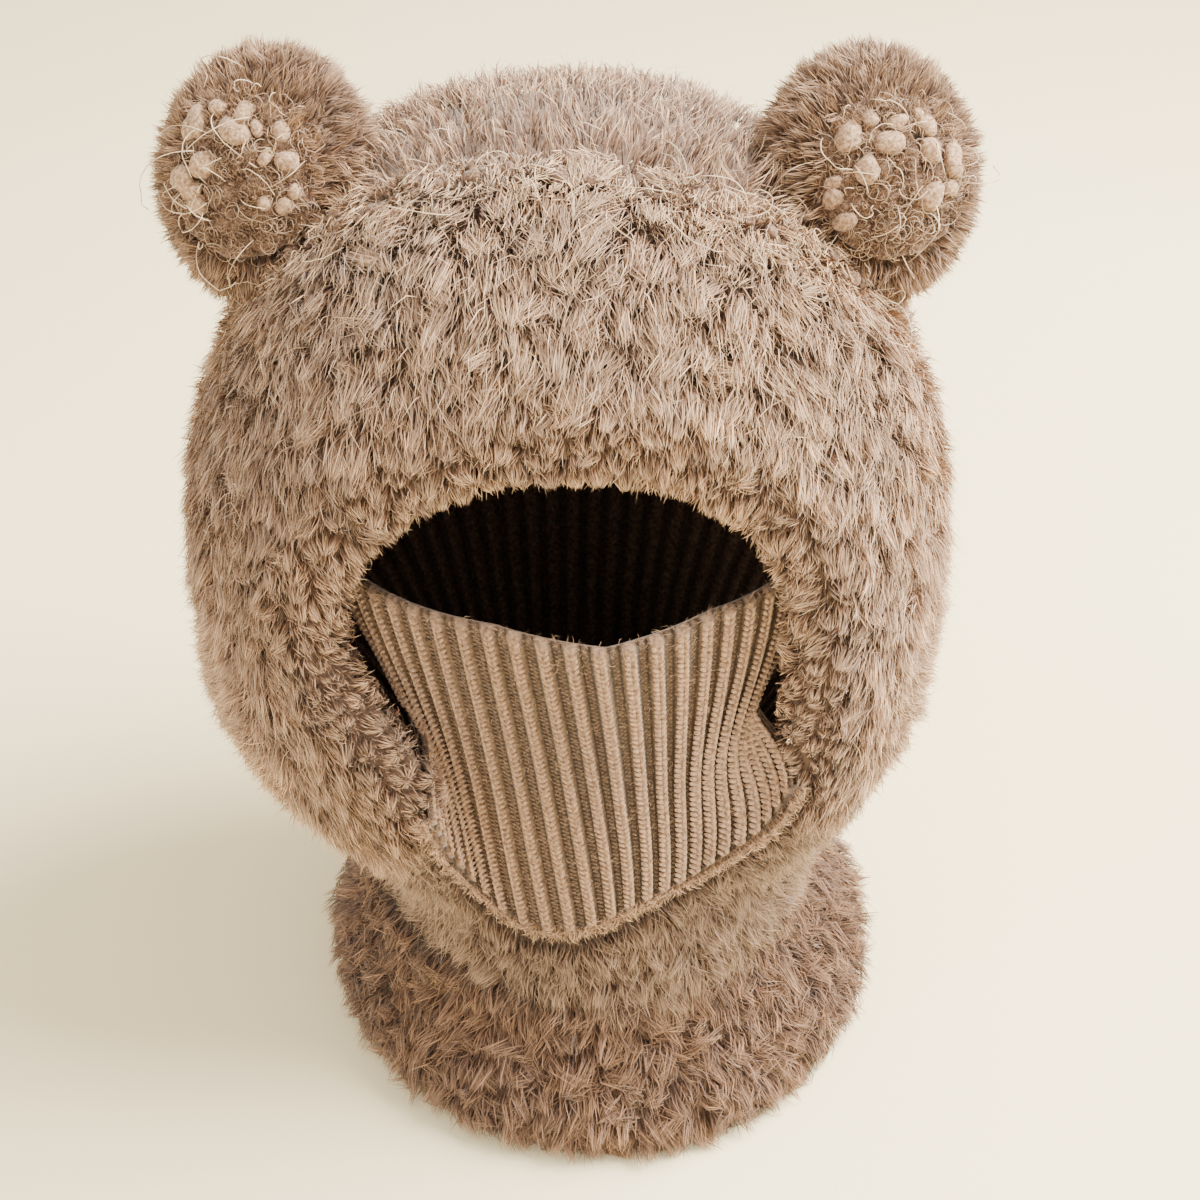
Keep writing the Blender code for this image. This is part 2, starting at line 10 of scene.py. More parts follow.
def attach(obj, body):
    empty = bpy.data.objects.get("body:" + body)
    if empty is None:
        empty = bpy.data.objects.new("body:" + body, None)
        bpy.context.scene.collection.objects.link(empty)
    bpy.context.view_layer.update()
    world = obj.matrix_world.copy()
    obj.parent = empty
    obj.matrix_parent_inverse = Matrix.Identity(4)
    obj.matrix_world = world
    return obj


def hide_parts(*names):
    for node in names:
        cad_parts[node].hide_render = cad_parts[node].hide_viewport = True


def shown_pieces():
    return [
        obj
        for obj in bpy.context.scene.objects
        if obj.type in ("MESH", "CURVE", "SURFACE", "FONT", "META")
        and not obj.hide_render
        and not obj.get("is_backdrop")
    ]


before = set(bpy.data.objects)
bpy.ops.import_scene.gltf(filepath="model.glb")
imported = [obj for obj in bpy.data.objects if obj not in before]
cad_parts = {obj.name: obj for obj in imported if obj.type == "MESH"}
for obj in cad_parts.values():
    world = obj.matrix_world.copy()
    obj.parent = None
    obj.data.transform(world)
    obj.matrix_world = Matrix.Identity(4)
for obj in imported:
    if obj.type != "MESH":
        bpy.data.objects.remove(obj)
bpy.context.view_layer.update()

# Animal hood scarf: long plush fur over the frame's hood, collar and ears, with a ribbed
# knitted mask and lining. Metres, +Z up, the face opening towards -Y.

# The hood's form, with the frame's own sizes
hood = {
    "halfWidth": 0.1385, "frontDepth": 0.1200, "backDepth": 0.1270,
    "topRise": 0.1890, "bottomDrop": 0.1230, "centreHeight": 0.2010, "squareness": 2.30,
    "crownWall": 0.0120, "bandRimWall": 0.0230, "chinRimWall": 0.0120,
    "chinHalfSpan": 45.0, "chinFade": 35.0,
    "neckHalfWidth": 0.0860, "neckDepth": 0.1040, "neckShift": 0.0120, "neckBlend": 16,
    "waistHeight": 0.0640, "openingHalfHeight": 0.1130,
    "originShift": (-0.00012, 0.00357, 0.0),
}

# Angle from the top, clockwise from the front, and the rim's reach as a share of the opening
rimTable = (
    (0, 1.0), (20, 1.01), (42, 0.96), (60, 0.88), (76, 0.80), (92, 0.765), (108, 0.775),
    (122, 0.77), (136, 0.735), (152, 0.735), (168, 0.755), (184, 0.84), (195, 0.865),
    (204, 0.80), (214, 0.69), (232, 0.56), (254, 0.515), (272, 0.62), (288, 0.81),
    (304, 0.91), (320, 0.96), (342, 1.005),
)
# Angle, and the crown seam's polar angle from the face axis
seamTable = (
    (0, 77.0), (22, 75.5), (38, 78.0), (65, 86.0), (110, 92.0), (180, 96.0), (250, 92.0),
    (295, 86.0), (330, 79.0),
)

hoodCentre = np.array([0.0, 0.0, hood["centreHeight"]])
originShift = np.array(hood["originShift"])
halfDegrees = np.arange(720) / 2.0


def around(values):
    return lambda angle: np.interp(angle, halfDegrees, values, period=360.0)


def smoothTable(table):
    angles = np.array([row[0] for row in table] + [table[0][0] + 360.0])
    values = np.array([row[1] for row in table] + [table[0][1]])
    place = np.searchsorted(angles, halfDegrees, side="right") - 1
    share = (halfDegrees - angles[place]) / (angles[place + 1] - angles[place])
    low, high = values[place], values[place + 1]
    before = np.where(place > 0, values[place - 1], values[-2])
    after = values[(place + 2) % len(table)]
    return around(
        low * (1 - 3 * share**2 + 2 * share**3) + high * (3 * share**2 - 2 * share**3)
        + (high - before) / 2 * (share - 2 * share**2 + share**3)
        + (after - low) / 2 * (share**3 - share**2)
    )


def grid(rows, columns):
    return np.meshgrid(rows, columns, indexing="ij")


def ease(share):
    share = np.clip(share, 0.0, 1.0)
    return share * share * (3 - 2 * share)


def unit(vectors):
    return vectors / np.maximum(np.linalg.norm(vectors, axis=-1, keepdims=True), 1e-9)


def faceDirection(angle, polar):
    turn, tilt = np.radians(angle), np.radians(polar)
    return np.stack(
        [np.sin(tilt) * np.sin(turn), -np.cos(tilt) + 0 * turn, np.sin(tilt) * np.cos(turn)], axis=-1
    )


def hoodRadius(direction):
    x, y, z = direction[..., 0], direction[..., 1], direction[..., 2]
    depth = np.where(y < 0, hood["frontDepth"], hood["backDepth"])
    height = np.where(z > 0, hood["topRise"], hood["bottomDrop"])
    power = hood["squareness"]
    total = np.abs(x / hood["halfWidth"])**power + np.abs(y / depth)**power + np.abs(z / height)**power
    rounded = total ** (-1.0 / power)
    spread = np.hypot(x / hood["neckHalfWidth"], y / hood["neckDepth"])
    neck = 1.0 / np.maximum(spread, 0.5 / hood["centreHeight"])
    blend = hood["neckBlend"]
    return np.where(z >= 0, rounded, (rounded**blend + neck**blend) ** (1.0 / blend))


def hoodPoint(direction, outward=0.0):
    direction = unit(direction)
    offset = direction * (hoodRadius(direction) + outward)[..., None]
    drop = -offset[..., 2] / (hood["centreHeight"] - hood["waistHeight"])
    place = offset + hoodCentre + originShift
    place[..., 0] += hood["neckShift"] * ease(drop) ** 2
    return place


seamAt = smoothTable(seamTable)
rimReach = smoothTable(rimTable)


def findRim():
    low, high = np.full(720, 5.0), np.full(720, 88.0)
    for _ in range(40):
        middle = (low + high) / 2
        reach = hoodRadius(faceDirection(halfDegrees, middle)) * np.sin(np.radians(middle))
        short = reach < hood["openingHalfHeight"] * rimReach(halfDegrees)
        low, high = np.where(short, middle, low), np.where(short, high, middle)
    return around(low)


rimAt = findRim()


# The chin lies midway between the mask's ends
def chinAngle():
    return (mask["leftAngle"] + mask["rightAngle"]) / 2


def rimWall(angle):
    away = np.abs(np.mod(angle - chinAngle() + 180.0, 360.0) - 180.0)
    thicker = ease((away - hood["chinHalfSpan"]) / hood["chinFade"])
    return hood["chinRimWall"] + (hood["bandRimWall"] - hood["chinRimWall"]) * thicker


def noseStart(angle):
    return rimAt(angle) + np.degrees(rimWall(angle) / 2 / hood["frontDepth"])


# Colours as they read in the photograph, 0 to 255
def tint(red, green, blue):
    def linear(part):
        part /= 255.0
        return part / 12.92 if part <= 0.04045 else ((part + 0.055) / 1.055) ** 2.4
    return (linear(red), linear(green), linear(blue), 1.0)


class Nodes:
    # A small helper that adds and links shader nodes
    def __init__(self, name):
        self.material = bpy.data.materials.new(name)
        self.material.use_nodes = True
        self.tree = self.material.node_tree

    def add(self, kind, links=None, **settings):
        node = self.tree.nodes.new(kind)
        for key, value in settings.items():
            if key in node.inputs:
                node.inputs[key].default_value = value
            else:
                setattr(node, key, value)
        for socket, source in (links or {}).items():
            self.tree.links.new(source, node.inputs[socket])
        return node

    def noise(self, scale, detail=3.0, stretch=None):
        place = self.add("ShaderNodeTexCoord").outputs["Object"]
        if stretch:
            place = self.add("ShaderNodeMapping", {"Vector": place}, Scale=stretch).outputs["Vector"]
        node = self.add("ShaderNodeTexNoise", {"Vector": place}, Scale=scale, Detail=detail)
        return node.outputs["Fac"]

    # Each stop is a place and a colour: three numbers from 0 to 255, or four as plain factors
    def ramp(self, source, *stops):
        node = self.add("ShaderNodeValToRGB", {"Fac": source})
        elements = node.color_ramp.elements
        while len(elements) < len(stops):
            elements.new(0.5)
        for element, (place, colour) in zip(elements, stops):
            element.position = place
            element.color = tint(*colour) if len(colour) == 3 else colour
        return node.outputs["Color"]

    def times(self, first, *others):
        for other in others:
            node = self.add("ShaderNodeMix", data_type="RGBA", blend_type="MULTIPLY")
            node.inputs[0].default_value = 1.0
            self.tree.links.new(first, node.inputs[6])
            self.tree.links.new(other, node.inputs[7])
            first = node.outputs[2]
        return first

    def span(self, source, low, high):
        ends = {"To Min": low, "To Max": high}
        return self.add("ShaderNodeMapRange", {"Value": source}, **ends).outputs["Result"]

    # Rough is a source with its lowest and highest roughness, bump a height, strength and distance
    def finish(self, colour, rough, bump, sheen=0.0, specular=0.5):
        height, strength, distance = bump
        bumps = self.add("ShaderNodeBump", {"Height": height}, Strength=strength, Distance=distance)
        sockets = self.tree.nodes["Principled BSDF"].inputs
        self.tree.links.new(colour, sockets["Base Color"])
        self.tree.links.new(self.span(*rough), sockets["Roughness"])
        self.tree.links.new(bumps.outputs["Normal"], sockets["Normal"])
        sockets["Sheen Weight"].default_value = sheen
        sockets["Specular IOR Level"].default_value = specular
        return self.material


def furMaterial(name, look):
    nodes = Nodes(name)
    strand = nodes.add("ShaderNodeAttribute", attribute_name="strand")
    parts = nodes.add("ShaderNodeSeparateColor", {"Color": strand.outputs["Color"]}).outputs
    # Dark roots and pale tips: partly the fur's own tipped colour, partly painted shade deep at the roots
    # and painted highlight at the tips
    along = nodes.ramp(parts["Red"], (0.0, look["root"]), (0.45, look["middle"]), (1.0, look["tip"]))
    own = nodes.ramp(
        parts["Green"], (0.0, (0.50, 0.47, 0.44, 1)), (0.55, (0.92, 0.89, 0.86, 1)),
        (0.85, (1.15, 1.13, 1.10, 1)), (1.0, (1.80, 1.78, 1.72, 1)),
    )
    tuft = nodes.ramp(parts["Blue"], (0.0, (0.80, 0.79, 0.79, 1)), (1.0, (1.12, 1.11, 1.10, 1)))
    patches = nodes.ramp(nodes.noise(look["mottle"], 4.0), (0.3, look["cool"]), (0.7, look["warm"]))
    rough, bump = (nodes.noise(900.0), 0.42, 0.68), (nodes.noise(1500.0, 2.0), 0.25, 0.0003)
    return nodes.finish(nodes.times(along, own, tuft, patches), rough, bump, 0.25, 0.35)


def groundMaterial(name, look):
    nodes = Nodes(name)
    fibres = nodes.noise(260.0, 5.0, (1.0, 1.0, 0.35))
    # The ground is the fur's colour made darker, as painted shade in the gaps between the strands
    colour = nodes.ramp(fibres, (0.3, look["groundDark"]), (0.7, look["groundLight"]))
    return nodes.finish(colour, (nodes.noise(60.0), 0.8, 0.98), (fibres, 0.8, 0.002), 0.3)


def yarnMaterial(name, look):
    nodes = Nodes(name)
    fibres = nodes.noise(look["fibreScale"], 6.0)
    colour = nodes.ramp(fibres, (0.28, look["dark"]), (0.52, look["base"]), (0.75, look["light"]))
    wide = nodes.ramp(nodes.noise(22.0, 3.0), (0.3, look["cool"]), (0.7, look["warm"]))
    colour = nodes.times(colour, wide)
    return nodes.finish(colour, (fibres, 0.72, 0.95), (fibres, 0.7, 0.0006), look["sheen"], 0.25)


def curlMaterial(name, dark, light):
    nodes = Nodes(name)
    fibres = nodes.noise(120.0, 3.0)
    colour = nodes.ramp(fibres, (0.35, dark), (0.62, light))
    return nodes.finish(colour, (fibres, 0.4, 0.6), (nodes.noise(2000.0), 0.3, 0.0001))


def meshFromArrays(name, points, faces):
    mesh = bpy.data.meshes.new(name)
    mesh.vertices.add(points.size // 3)
    mesh.vertices.foreach_set("co", points.astype(np.float32).ravel())
    mesh.loops.add(faces.size)
    mesh.loops.foreach_set("vertex_index", faces.astype(np.int32).ravel())
    mesh.polygons.add(len(faces))
    mesh.polygons.foreach_set("loop_start", np.arange(0, faces.size, faces.shape[1], dtype=np.int32))
    mesh.update(calc_edges=True)
    mesh.polygons.foreach_set("use_smooth", np.ones(len(faces), bool))
    return mesh


def addShares(mesh, name, values):
    mesh.attributes.new(name, "FLOAT", "POINT").data.foreach_set("value", values.astype(np.float32))


# Quads over a grid of points, row by row; a closed grid joins its last row to its first
def gridFaces(rows, columns, closed=False):
    row, column = grid(np.arange(rows - (not closed)), np.arange(columns - 1))
    first = (row * columns + column).ravel()
    up = ((row + 1) % rows * columns + column).ravel()
    return np.stack([first, first + 1, up + 1, up], 1)


# The triangles of one form, repeated for every copy of its points
def repeatFaces(faces, each, count):
    return (np.array(faces)[None] + each * np.arange(count)[:, None, None]).reshape(-1, 3)


def inScene(name, data):
    thing = bpy.data.objects.new(name, data)
    bpy.context.scene.collection.objects.link(thing)
    return thing


def newPiece(name, mesh, material, slot, *replaced):
    piece = inScene(name, mesh)
    mesh.materials.clear()
    mesh.materials.append(material)
    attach(piece, "root")
    if replaced:
        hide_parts(*replaced)
    return piece


def onSkin(vectors, normals):
    return unit(vectors - normals * (vectors * normals).sum(axis=-1, keepdims=True))


# A grid of points becomes a surface for strands. Its fields say which way they lie, how steep,
# how long and how dense they are
def grownSurface(points, lay, lift, long=1.0, keep=1.0, **more):
    normals = unit(np.cross(np.gradient(points, axis=1), np.gradient(points, axis=0)))
    outward = points - points.mean(axis=(0, 1))
    normals = normals * np.sign((normals * outward).sum(axis=-1).mean())
    even = 0 * points[..., 0]
    fields = {"lay": onSkin(lay, normals), "lift": lift + even, "long": long + even, "keep": keep + even}
    return {"points": points, "normals": normals, "fields": {**fields, **more}}


def scatter(surface, count, rng):
    points = surface["points"]
    quads = gridFaces(*points.shape[:2])
    corners = np.concatenate([quads[:, [0, 1, 3]], quads[:, [1, 2, 3]]])
    flat = points.reshape(-1, 3)
    a, b, c = (flat[corners[:, k]] for k in range(3))
    weight = np.linalg.norm(np.cross(b - a, c - a), axis=1)
    weight = weight * surface["fields"]["keep"].ravel()[corners].mean(axis=1)
    order = np.cumsum(weight)
    picked = np.searchsorted(order, rng.random(count) * order[-1])
    u, v = rng.random(count), rng.random(count)
    over = u + v > 1
    u, v = np.where(over, 1 - u, u), np.where(over, 1 - v, v)
    shares = np.stack([1 - u - v, u, v], 1)

    def spread(values):
        values = values.reshape(len(flat), -1)
        return (values[corners[picked]] * shares[:, :, None]).sum(axis=1)

    found = {"point": spread(flat), "normal": unit(spread(surface["normals"]))}
    for key, values in surface["fields"].items():
        found[key] = spread(values) if values.ndim == 3 else spread(values)[:, 0]
    return found


def turned(vectors, axis, angle):
    cosine, sine = np.cos(angle)[:, None], np.sin(angle)[:, None]
    return vectors * cosine + np.cross(axis, vectors) * sine


# Flat tapering strands: spines holds the points along each strand, root to tip
def strandMesh(name, spines, sides, widths, tones):
    count, steps = spines.shape[:2]
    pairs = []
    for k in range(steps - 1):
        half = sides[:, k] * widths[:, k:k + 1] / 2
        pairs += [spines[:, k] - half, spines[:, k] + half]
    points = np.stack(pairs + [spines[:, -1]], axis=1)
    each = points.shape[1]
    faces = []
    for k in range(steps - 2):
        low = 2 * k
        faces += [(low, low + 1, low + 3), (low, low + 3, low + 2)]
    faces.append((each - 3, each - 2, each - 1))
    mesh = meshFromArrays(name, points, repeatFaces(faces, each, count))
    shares = np.array([k // 2 / (steps - 1) for k in range(each - 1)] + [1.0])
    values = np.ones((count, each, 4), np.float32)
    values[:, :, 0] = shares
    values[:, :, 1:3] = tones[:, None, :]
    colours = mesh.attributes.new("strand", "FLOAT_COLOR", "POINT")
    colours.data.foreach_set("color", values.ravel())
    return mesh


# All layers of one surface draw the same tufts, and each layer its own strands
def growFur(name, surface, look, seed):
    rng = np.random.default_rng(seed)
    tuftRng = np.random.default_rng(look["tuftSeed"])
    hairs = scatter(surface, look["strands"], rng)
    tufts = scatter(surface, look["tufts"], tuftRng)
    tree = KDTree(len(tufts["point"]))
    for k, place in enumerate(tufts["point"]):
        tree.insert(place, k)
    tree.balance()
    owner = np.array([tree.find(place)[1] for place in hairs["point"]])

    def drawn(places, swirl, liftSpread, rolls):
        # Where the middle and tip of a strand go from its root
        lay = turned(onSkin(places["lay"], places["normal"]), places["normal"], np.radians(swirl * rolls[0]))
        lift = np.radians(places["lift"] + liftSpread * rolls[1])[:, None]
        length = (look["length"] * places["long"] * (1 + look["lengthSpread"] * rolls[2]))[:, None]
        first = np.cos(lift) * lay + np.sin(lift) * places["normal"]
        bent = lift - np.radians(look["bend"])
        second = np.cos(bent) * lay + np.sin(bent) * places["normal"] + np.array([0, 0, -look["droop"]])
        middle = first * length * 0.5
        return middle, middle + unit(second) * length * 0.5, unit(first)

    def rolls(source, count):
        return source.normal(0, 1, count), source.normal(0, 1, count), source.uniform(-1, 1, count)

    tuftMiddle, tuftTip, _ = drawn(
        tufts, look["tuftSwirl"], look["tuftLift"], rolls(tuftRng, len(tufts["point"]))
    )
    hairMiddle, hairTip, first = drawn(
        hairs, look["swirl"], look["liftSpread"], rolls(rng, len(hairs["point"]))
    )
    loose = rng.random(len(owner)) < look["loose"]
    clump = np.where(loose, 0.15, look["clump"] * rng.uniform(0.45, 1.0, len(owner)))[:, None]
    root = hairs["point"] - hairs["normal"] * look["sink"]
    middle = hairs["point"] + hairMiddle
    tip = hairs["point"] + hairTip
    tuftRoot = tufts["point"][owner]
    middle += (tuftRoot + tuftMiddle[owner] - middle) * clump * look["middleClump"]
    tip += (tuftRoot + tuftTip[owner] - tip) * clump
    spines = np.stack([root, middle, tip], axis=1)
    spines[:, :, 2] = np.maximum(spines[:, :, 2], look["floor"])
    run = unit(tip - root)
    side = unit(np.cross(run, hairs["normal"]))
    side = turned(side, run, np.radians(look["roll"]) * rng.uniform(-1, 1, len(owner)))
    widths = look["width"] * rng.uniform(0.6, 1.25, len(owner))
    widths = np.stack([widths * 0.9, widths], axis=1)
    tuftTone = tuftRng.random(len(tufts["point"]))
    tones = np.stack([rng.random(len(owner)) ** 0.8, tuftTone[owner]], axis=1)
    # A surface's shade field darkens the strands' tones as painted shade
    if "shade" in hairs:
        tones = tones * hairs["shade"][:, None]
    return strandMesh(name, spines, np.stack([side, side], axis=1), widths, tones)


def furPiece(name, surface, look, seed, material, slot):
    return newPiece(name, growFur(name, surface, look, seed), material, slot)


# Frayed fibres over a narrow strip of the hood
def growFray(name, points, look, seed, keep=1.0):
    surface = grownSurface(points, unit(np.gradient(points, axis=0)), look["lift"], keep=keep)
    surface["normals"] *= np.sign((surface["normals"] * (points - hoodCentre)).sum())
    furPiece(name, surface, look, seed, furMaterial(name, look), "nubby_yarn")


def weldedCopy(node):
    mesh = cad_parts[node].data.copy()
    shape = bmesh.new()
    shape.from_mesh(mesh)
    bmesh.ops.remove_doubles(shape, verts=shape.verts, dist=1e-5)
    return mesh, shape


# The ground that fur grows from: the frame's own solid, welded, remeshed and softened
def growGround(node, name, look, material, slot, coarser=1.0):
    mesh, shape = weldedCopy(node)
    shape.to_mesh(mesh)
    shape.free()
    helper = inScene("helper", mesh)
    remesh = helper.modifiers.new("Remesh", "REMESH")
    remesh.mode, remesh.voxel_size = "VOXEL", look["groundVoxel"] * coarser
    smooth = helper.modifiers.new("Smooth", "SMOOTH")
    smooth.iterations, smooth.factor = look["softening"], 0.6
    push = helper.modifiers.new("Inset", "DISPLACE")
    push.mid_level, push.strength = 0.0, -look["groundInset"]
    graph = bpy.context.evaluated_depsgraph_get()
    ground = bpy.data.meshes.new_from_object(helper.evaluated_get(graph))
    ground.name = name
    bpy.data.objects.remove(helper)
    ground.shade_smooth()
    return newPiece(name, ground, material, slot, node)


# Copies of one small form, turned and scaled by their own axes, joined in one mesh
def stampMesh(name, form, places, axes):
    formPoints, formFaces = form
    places, axes = np.concatenate(places), np.concatenate(axes)
    points = places[:, None, :] + np.einsum("vk,nkc->nvc", formPoints, axes)
    faces = repeatFaces(formFaces, len(formPoints), len(places))
    return meshFromArrays(name, points, faces)


# The shares of a line at which its stitches sit, one pitch apart
def evenShares(line, shares, pitch):
    run = np.concatenate([[0], np.cumsum(np.linalg.norm(np.diff(line, axis=0), axis=1))])
    return np.interp((np.arange(int(run[-1] / pitch)) + 0.5) * pitch, run, shares)


# The two leaning legs of each stitch, as the places and axes of their spindles
def stitchLegs(place, ahead, aside, outward, look, wide=1.0):
    places, axes = [], []
    for side in (-1, 1):
        lean = math.radians(look["legLean"]) * side
        along = ahead * math.cos(lean) + aside * math.sin(lean)
        places.append(place + aside * side * look["legSpread"] * wide)
        axes.append(np.stack([
            np.cross(along, outward) * look["legWidth"] * wide,
            along * look["legLength"], outward * look["legDepth"],
        ], axis=1))
    return places, axes


# A spindle along the second axis, pointed at both ends
def spindleForm(sides, shares, radii):
    turns = 2 * np.pi * np.arange(sides) / sides
    points = [(0.0, -1.0, 0.0)]
    for share, radius in zip(shares, radii):
        points += [(radius * math.cos(t), share, radius * math.sin(t)) for t in turns]
    points.append((0.0, 1.0, 0.0))
    faces = []
    for k in range(sides):
        ahead, last = (k + 1) % sides, 1 + (len(shares) - 1) * sides
        faces += [(0, 1 + k, 1 + ahead), (len(points) - 1, last + ahead, last + k)]
        for low in range(1, last, sides):
            faces.append((low + k, low + sides + k, low + sides + ahead))
            faces.append((low + k, low + sides + ahead, low + ahead))
    return np.array(points), np.array(faces)


# Thin three-sided tubes along many paths at once
def tubeMesh(name, paths, radius):
    count, steps = paths.shape[:2]
    tangents = unit(np.gradient(paths, axis=1))
    across = unit(np.cross(tangents, np.array([0.31, 0.52, 0.79])))
    turns = (2 * np.pi * np.arange(3) / 3)[None, None, :, None]
    ring = across[:, :, None] * np.cos(turns) + np.cross(tangents, across)[:, :, None] * np.sin(turns)
    faces = []
    for low in range(0, 3 * steps - 3, 3):
        for k in range(3):
            a, b = low + k, low + (k + 1) % 3
            faces += [(a, b, b + 3), (a, b + 3, a + 3)]
    faces += [(2, 1, 0), (3 * steps - 3, 3 * steps - 2, 3 * steps - 1)]
    return meshFromArrays(name, paths[:, :, None] + ring * radius, repeatFaces(faces, 3 * steps, count))


hoodFur = {
    "strands": 36000, "crownStrands": 33000, "tufts": 1800, "tuftSeed": 5, "length": 0.0134,
    "lengthSpread": 0.36, "width": 0.00044, "lift": 44.0, "liftSpread": 12.0, "tuftLift": 13.0,
    "bend": 24.0, "droop": 0.12, "swirl": 28.0, "tuftSwirl": 30.0, "clump": 0.88,
    "middleClump": 0.35, "sink": 0.0015, "roll": 55.0, "loose": 0.25,
    "floor": -1.0,  # no strand reaches below this height
    # Root to tip colours: partly the fur's own, partly painted shade at the roots and painted highlight at
    # the tips
    "root": (50, 32, 20), "middle": (132, 100, 76), "tip": (230, 201, 167),
    "cool": (236, 230, 230), "warm": (255, 248, 238), "mottle": 16.0,
    # The ground's colours are darker than the strands', as painted shade between them
    "groundDark": (84, 62, 48), "groundLight": (128, 98, 76), "groundVoxel": 0.0045,
    "groundInset": 0.0030, "softening": 5, "crownCoarser": 1.4, "columns": 240,
    # Fur of the band: where it parts on the cheeks, what is trimmed near the face, and the painted shade
    # that darkens the chin's strands
    "parting": 0.70, "partingWidth": 0.10, "noseTrim": 0.58, "cheekTrim": 0.22, "noseLift": 10.0,
    "cheekStart": 55.0, "cheekFade": 45.0, "chinSpan": 62.0, "chinFade": 16.0, "chinPaintedShade": 0.7,
    "chinEdge": 0.985, "fall": 0.55, "insideThinning": 0.7,
    "crownFall": 0.8, "crownSettle": 0.7, "crownLift": 6.0, "crownLong": (0.74, 0.20),
    # How far the fur stops above the waist at the front and hangs over the collar behind
    "aboveWaist": 0.002, "overCollar": 0.006,
}
# The short haze over the ribbed knit
maskFuzz = {
    **hoodFur, "strands": 7000, "tufts": 60, "length": 0.0020, "width": 0.00011, "bend": 50.0,
    "swirl": 75.0, "clump": 0.0, "loose": 1.0, "sink": 0.0003,
    "root": (128, 98, 72), "middle": (184, 152, 120), "tip": (226, 204, 178),
}
# Sparse long hairs that stand out of the fur
strayHair = {
    **hoodFur, "strands": 6200, "length": 0.0172, "width": 0.00021, "lift": 60.0,
    "liftSpread": 14.0, "bend": 30.0, "swirl": 48.0, "clump": 0.0, "loose": 1.0,
    "root": (150, 120, 94), "middle": (206, 178, 146), "tip": (246, 228, 200),
}

mask = {
    "thickness": 0.0028, "ribs": 25, "topHeight": 0.2465,
    "topWidthShare": 0.78, "topShift": 0.0010, "topCurl": 1.32, "endsDepthShare": 0.275,
    "bowShare": 0.56, "endsLift": 0.0040, "leftAngle": 238.0, "rightAngle": 108.0,
    "tuck": 0.0066, "seamDepth": 0.0050, "notchDepth": 0.0065, "notchPlace": 0.10,
    "notchHalfSpan": 0.33,
    # share of height, left pinch, right pinch, bulge as a share of the front depth
    "table": (
        (0.00, 0.00, 0.00, 0.000), (0.16, 0.13, 0.08, 0.008), (0.34, 0.18, 0.28, 0.000),
        (0.50, 0.14, 0.20, -0.017), (0.68, 0.07, 0.08, -0.017), (0.85, 0.01, 0.02, 0.000),
        (1.00, 0.00, 0.00, 0.008),
    ),
    "columnsPerRib": 6, "rows": 60, "stitchPitch": 0.0023, "legLength": 0.0019,
    "legWidth": 0.00074, "legDepth": 0.00085, "legSpread": 0.00088, "legLean": 30.0,
    "purlPitch": 0.0019, "purlSpread": 0.0008, "purlStep": 0.25, "purlWidth": 0.00055,
    "purlLength": 0.0011, "purlDepth": 0.0005, "purlRise": 0.0003, "purlPaintedShade": 0.55,
    "ridgeLeft": 0.42, "ridgeGain": 0.16, "valleyDepth": 0.0008, "crestHeight": 0.0014, "ribTakeUp": 1.4,
    "lapTuck": 0.0010, "lapOut": -0.0012, "lapShare": 0.30, "lapCurve": 1.6,
    "hemShare": 0.012, "hemSwell": 0.35, "smoothing": 0.09,
    # The valley colour is near black, as painted shade in the creases between the ribs
    "valley": (28, 16, 8), "ridge": (187, 156, 127), "fibreDark": (158, 146, 136),
    "cool": (238, 234, 234), "warm": (255, 248, 240), "fibreScale": 700.0,
}


def wallBetween(angle, share):
    return hood["crownWall"] + (rimWall(angle) - hood["crownWall"]) * ease(share)


# v runs 0 to 1 from the seam to the rim, 1 to 2 round the rolled rim, then back inside
def bandPoint(angle, v):
    outer, turn, inner = np.clip(v, 0, 1), np.pi * np.clip(v - 1, 0, 1), np.clip(v - 2, 0, 1)
    half = rimWall(angle) / 2
    start, seam = noseStart(angle), seamAt(angle)
    polar = seam + (start - seam) * (outer - inner) - np.degrees(half * np.sin(turn) / hood["frontDepth"])
    outward = np.where(inner > 0, -wallBetween(angle, 1 - inner), half * (np.cos(turn) - 1))
    return hoodPoint(faceDirection(angle, polar), outward)


def bandSurface():
    v = np.concatenate([np.linspace(0, 1, 44), np.linspace(1, 2, 16)[1:], np.linspace(2, 2.3, 5)[1:]])
    v, angle = grid(v, np.linspace(0, 360, hoodFur["columns"] + 1))
    points = bandPoint(angle, v)
    fromTop = np.minimum(angle, 360 - angle)
    cheek = np.sin(np.radians(angle)) ** 2 * ease((fromTop - hoodFur["cheekStart"]) / hoodFur["cheekFade"])
    chin = ease((hoodFur["chinSpan"] - np.abs(angle - chinAngle())) / hoodFur["chinFade"])
    # Fur lies towards the rim, apart from the cheeks, where it parts, and the chin, where it hangs
    parting = np.tanh((v - hoodFur["parting"]) / hoodFur["partingWidth"])
    flow = np.where(v > 1.0, 1.0, (1 - cheek) + cheek * parting) * (1 - chin) - chin
    lay = unit(np.gradient(points, axis=0)) * flow[..., None] - np.array([0, 0, hoodFur["fall"]])
    nose, inside = ease((v - 0.80) / 0.35), ease((v - 1.35) / 0.4)
    dense = (1 - hoodFur["insideThinning"] * inside) * (1 - chin * ease((v - hoodFur["chinEdge"]) / 0.04))
    return grownSurface(
        points, lay,
        lift=hoodFur["lift"] + hoodFur["noseLift"] * nose * (1 - chin),
        long=1 - (hoodFur["noseTrim"] + hoodFur["cheekTrim"] * cheek) * nose,
        keep=np.where(points[..., 2] < hood["waistHeight"] + hoodFur["aboveWaist"], 0.0, dense),
        # The chin's strands get painted shade, darker where the hood shades them
        shade=1 - hoodFur["chinPaintedShade"] * chin,
    )


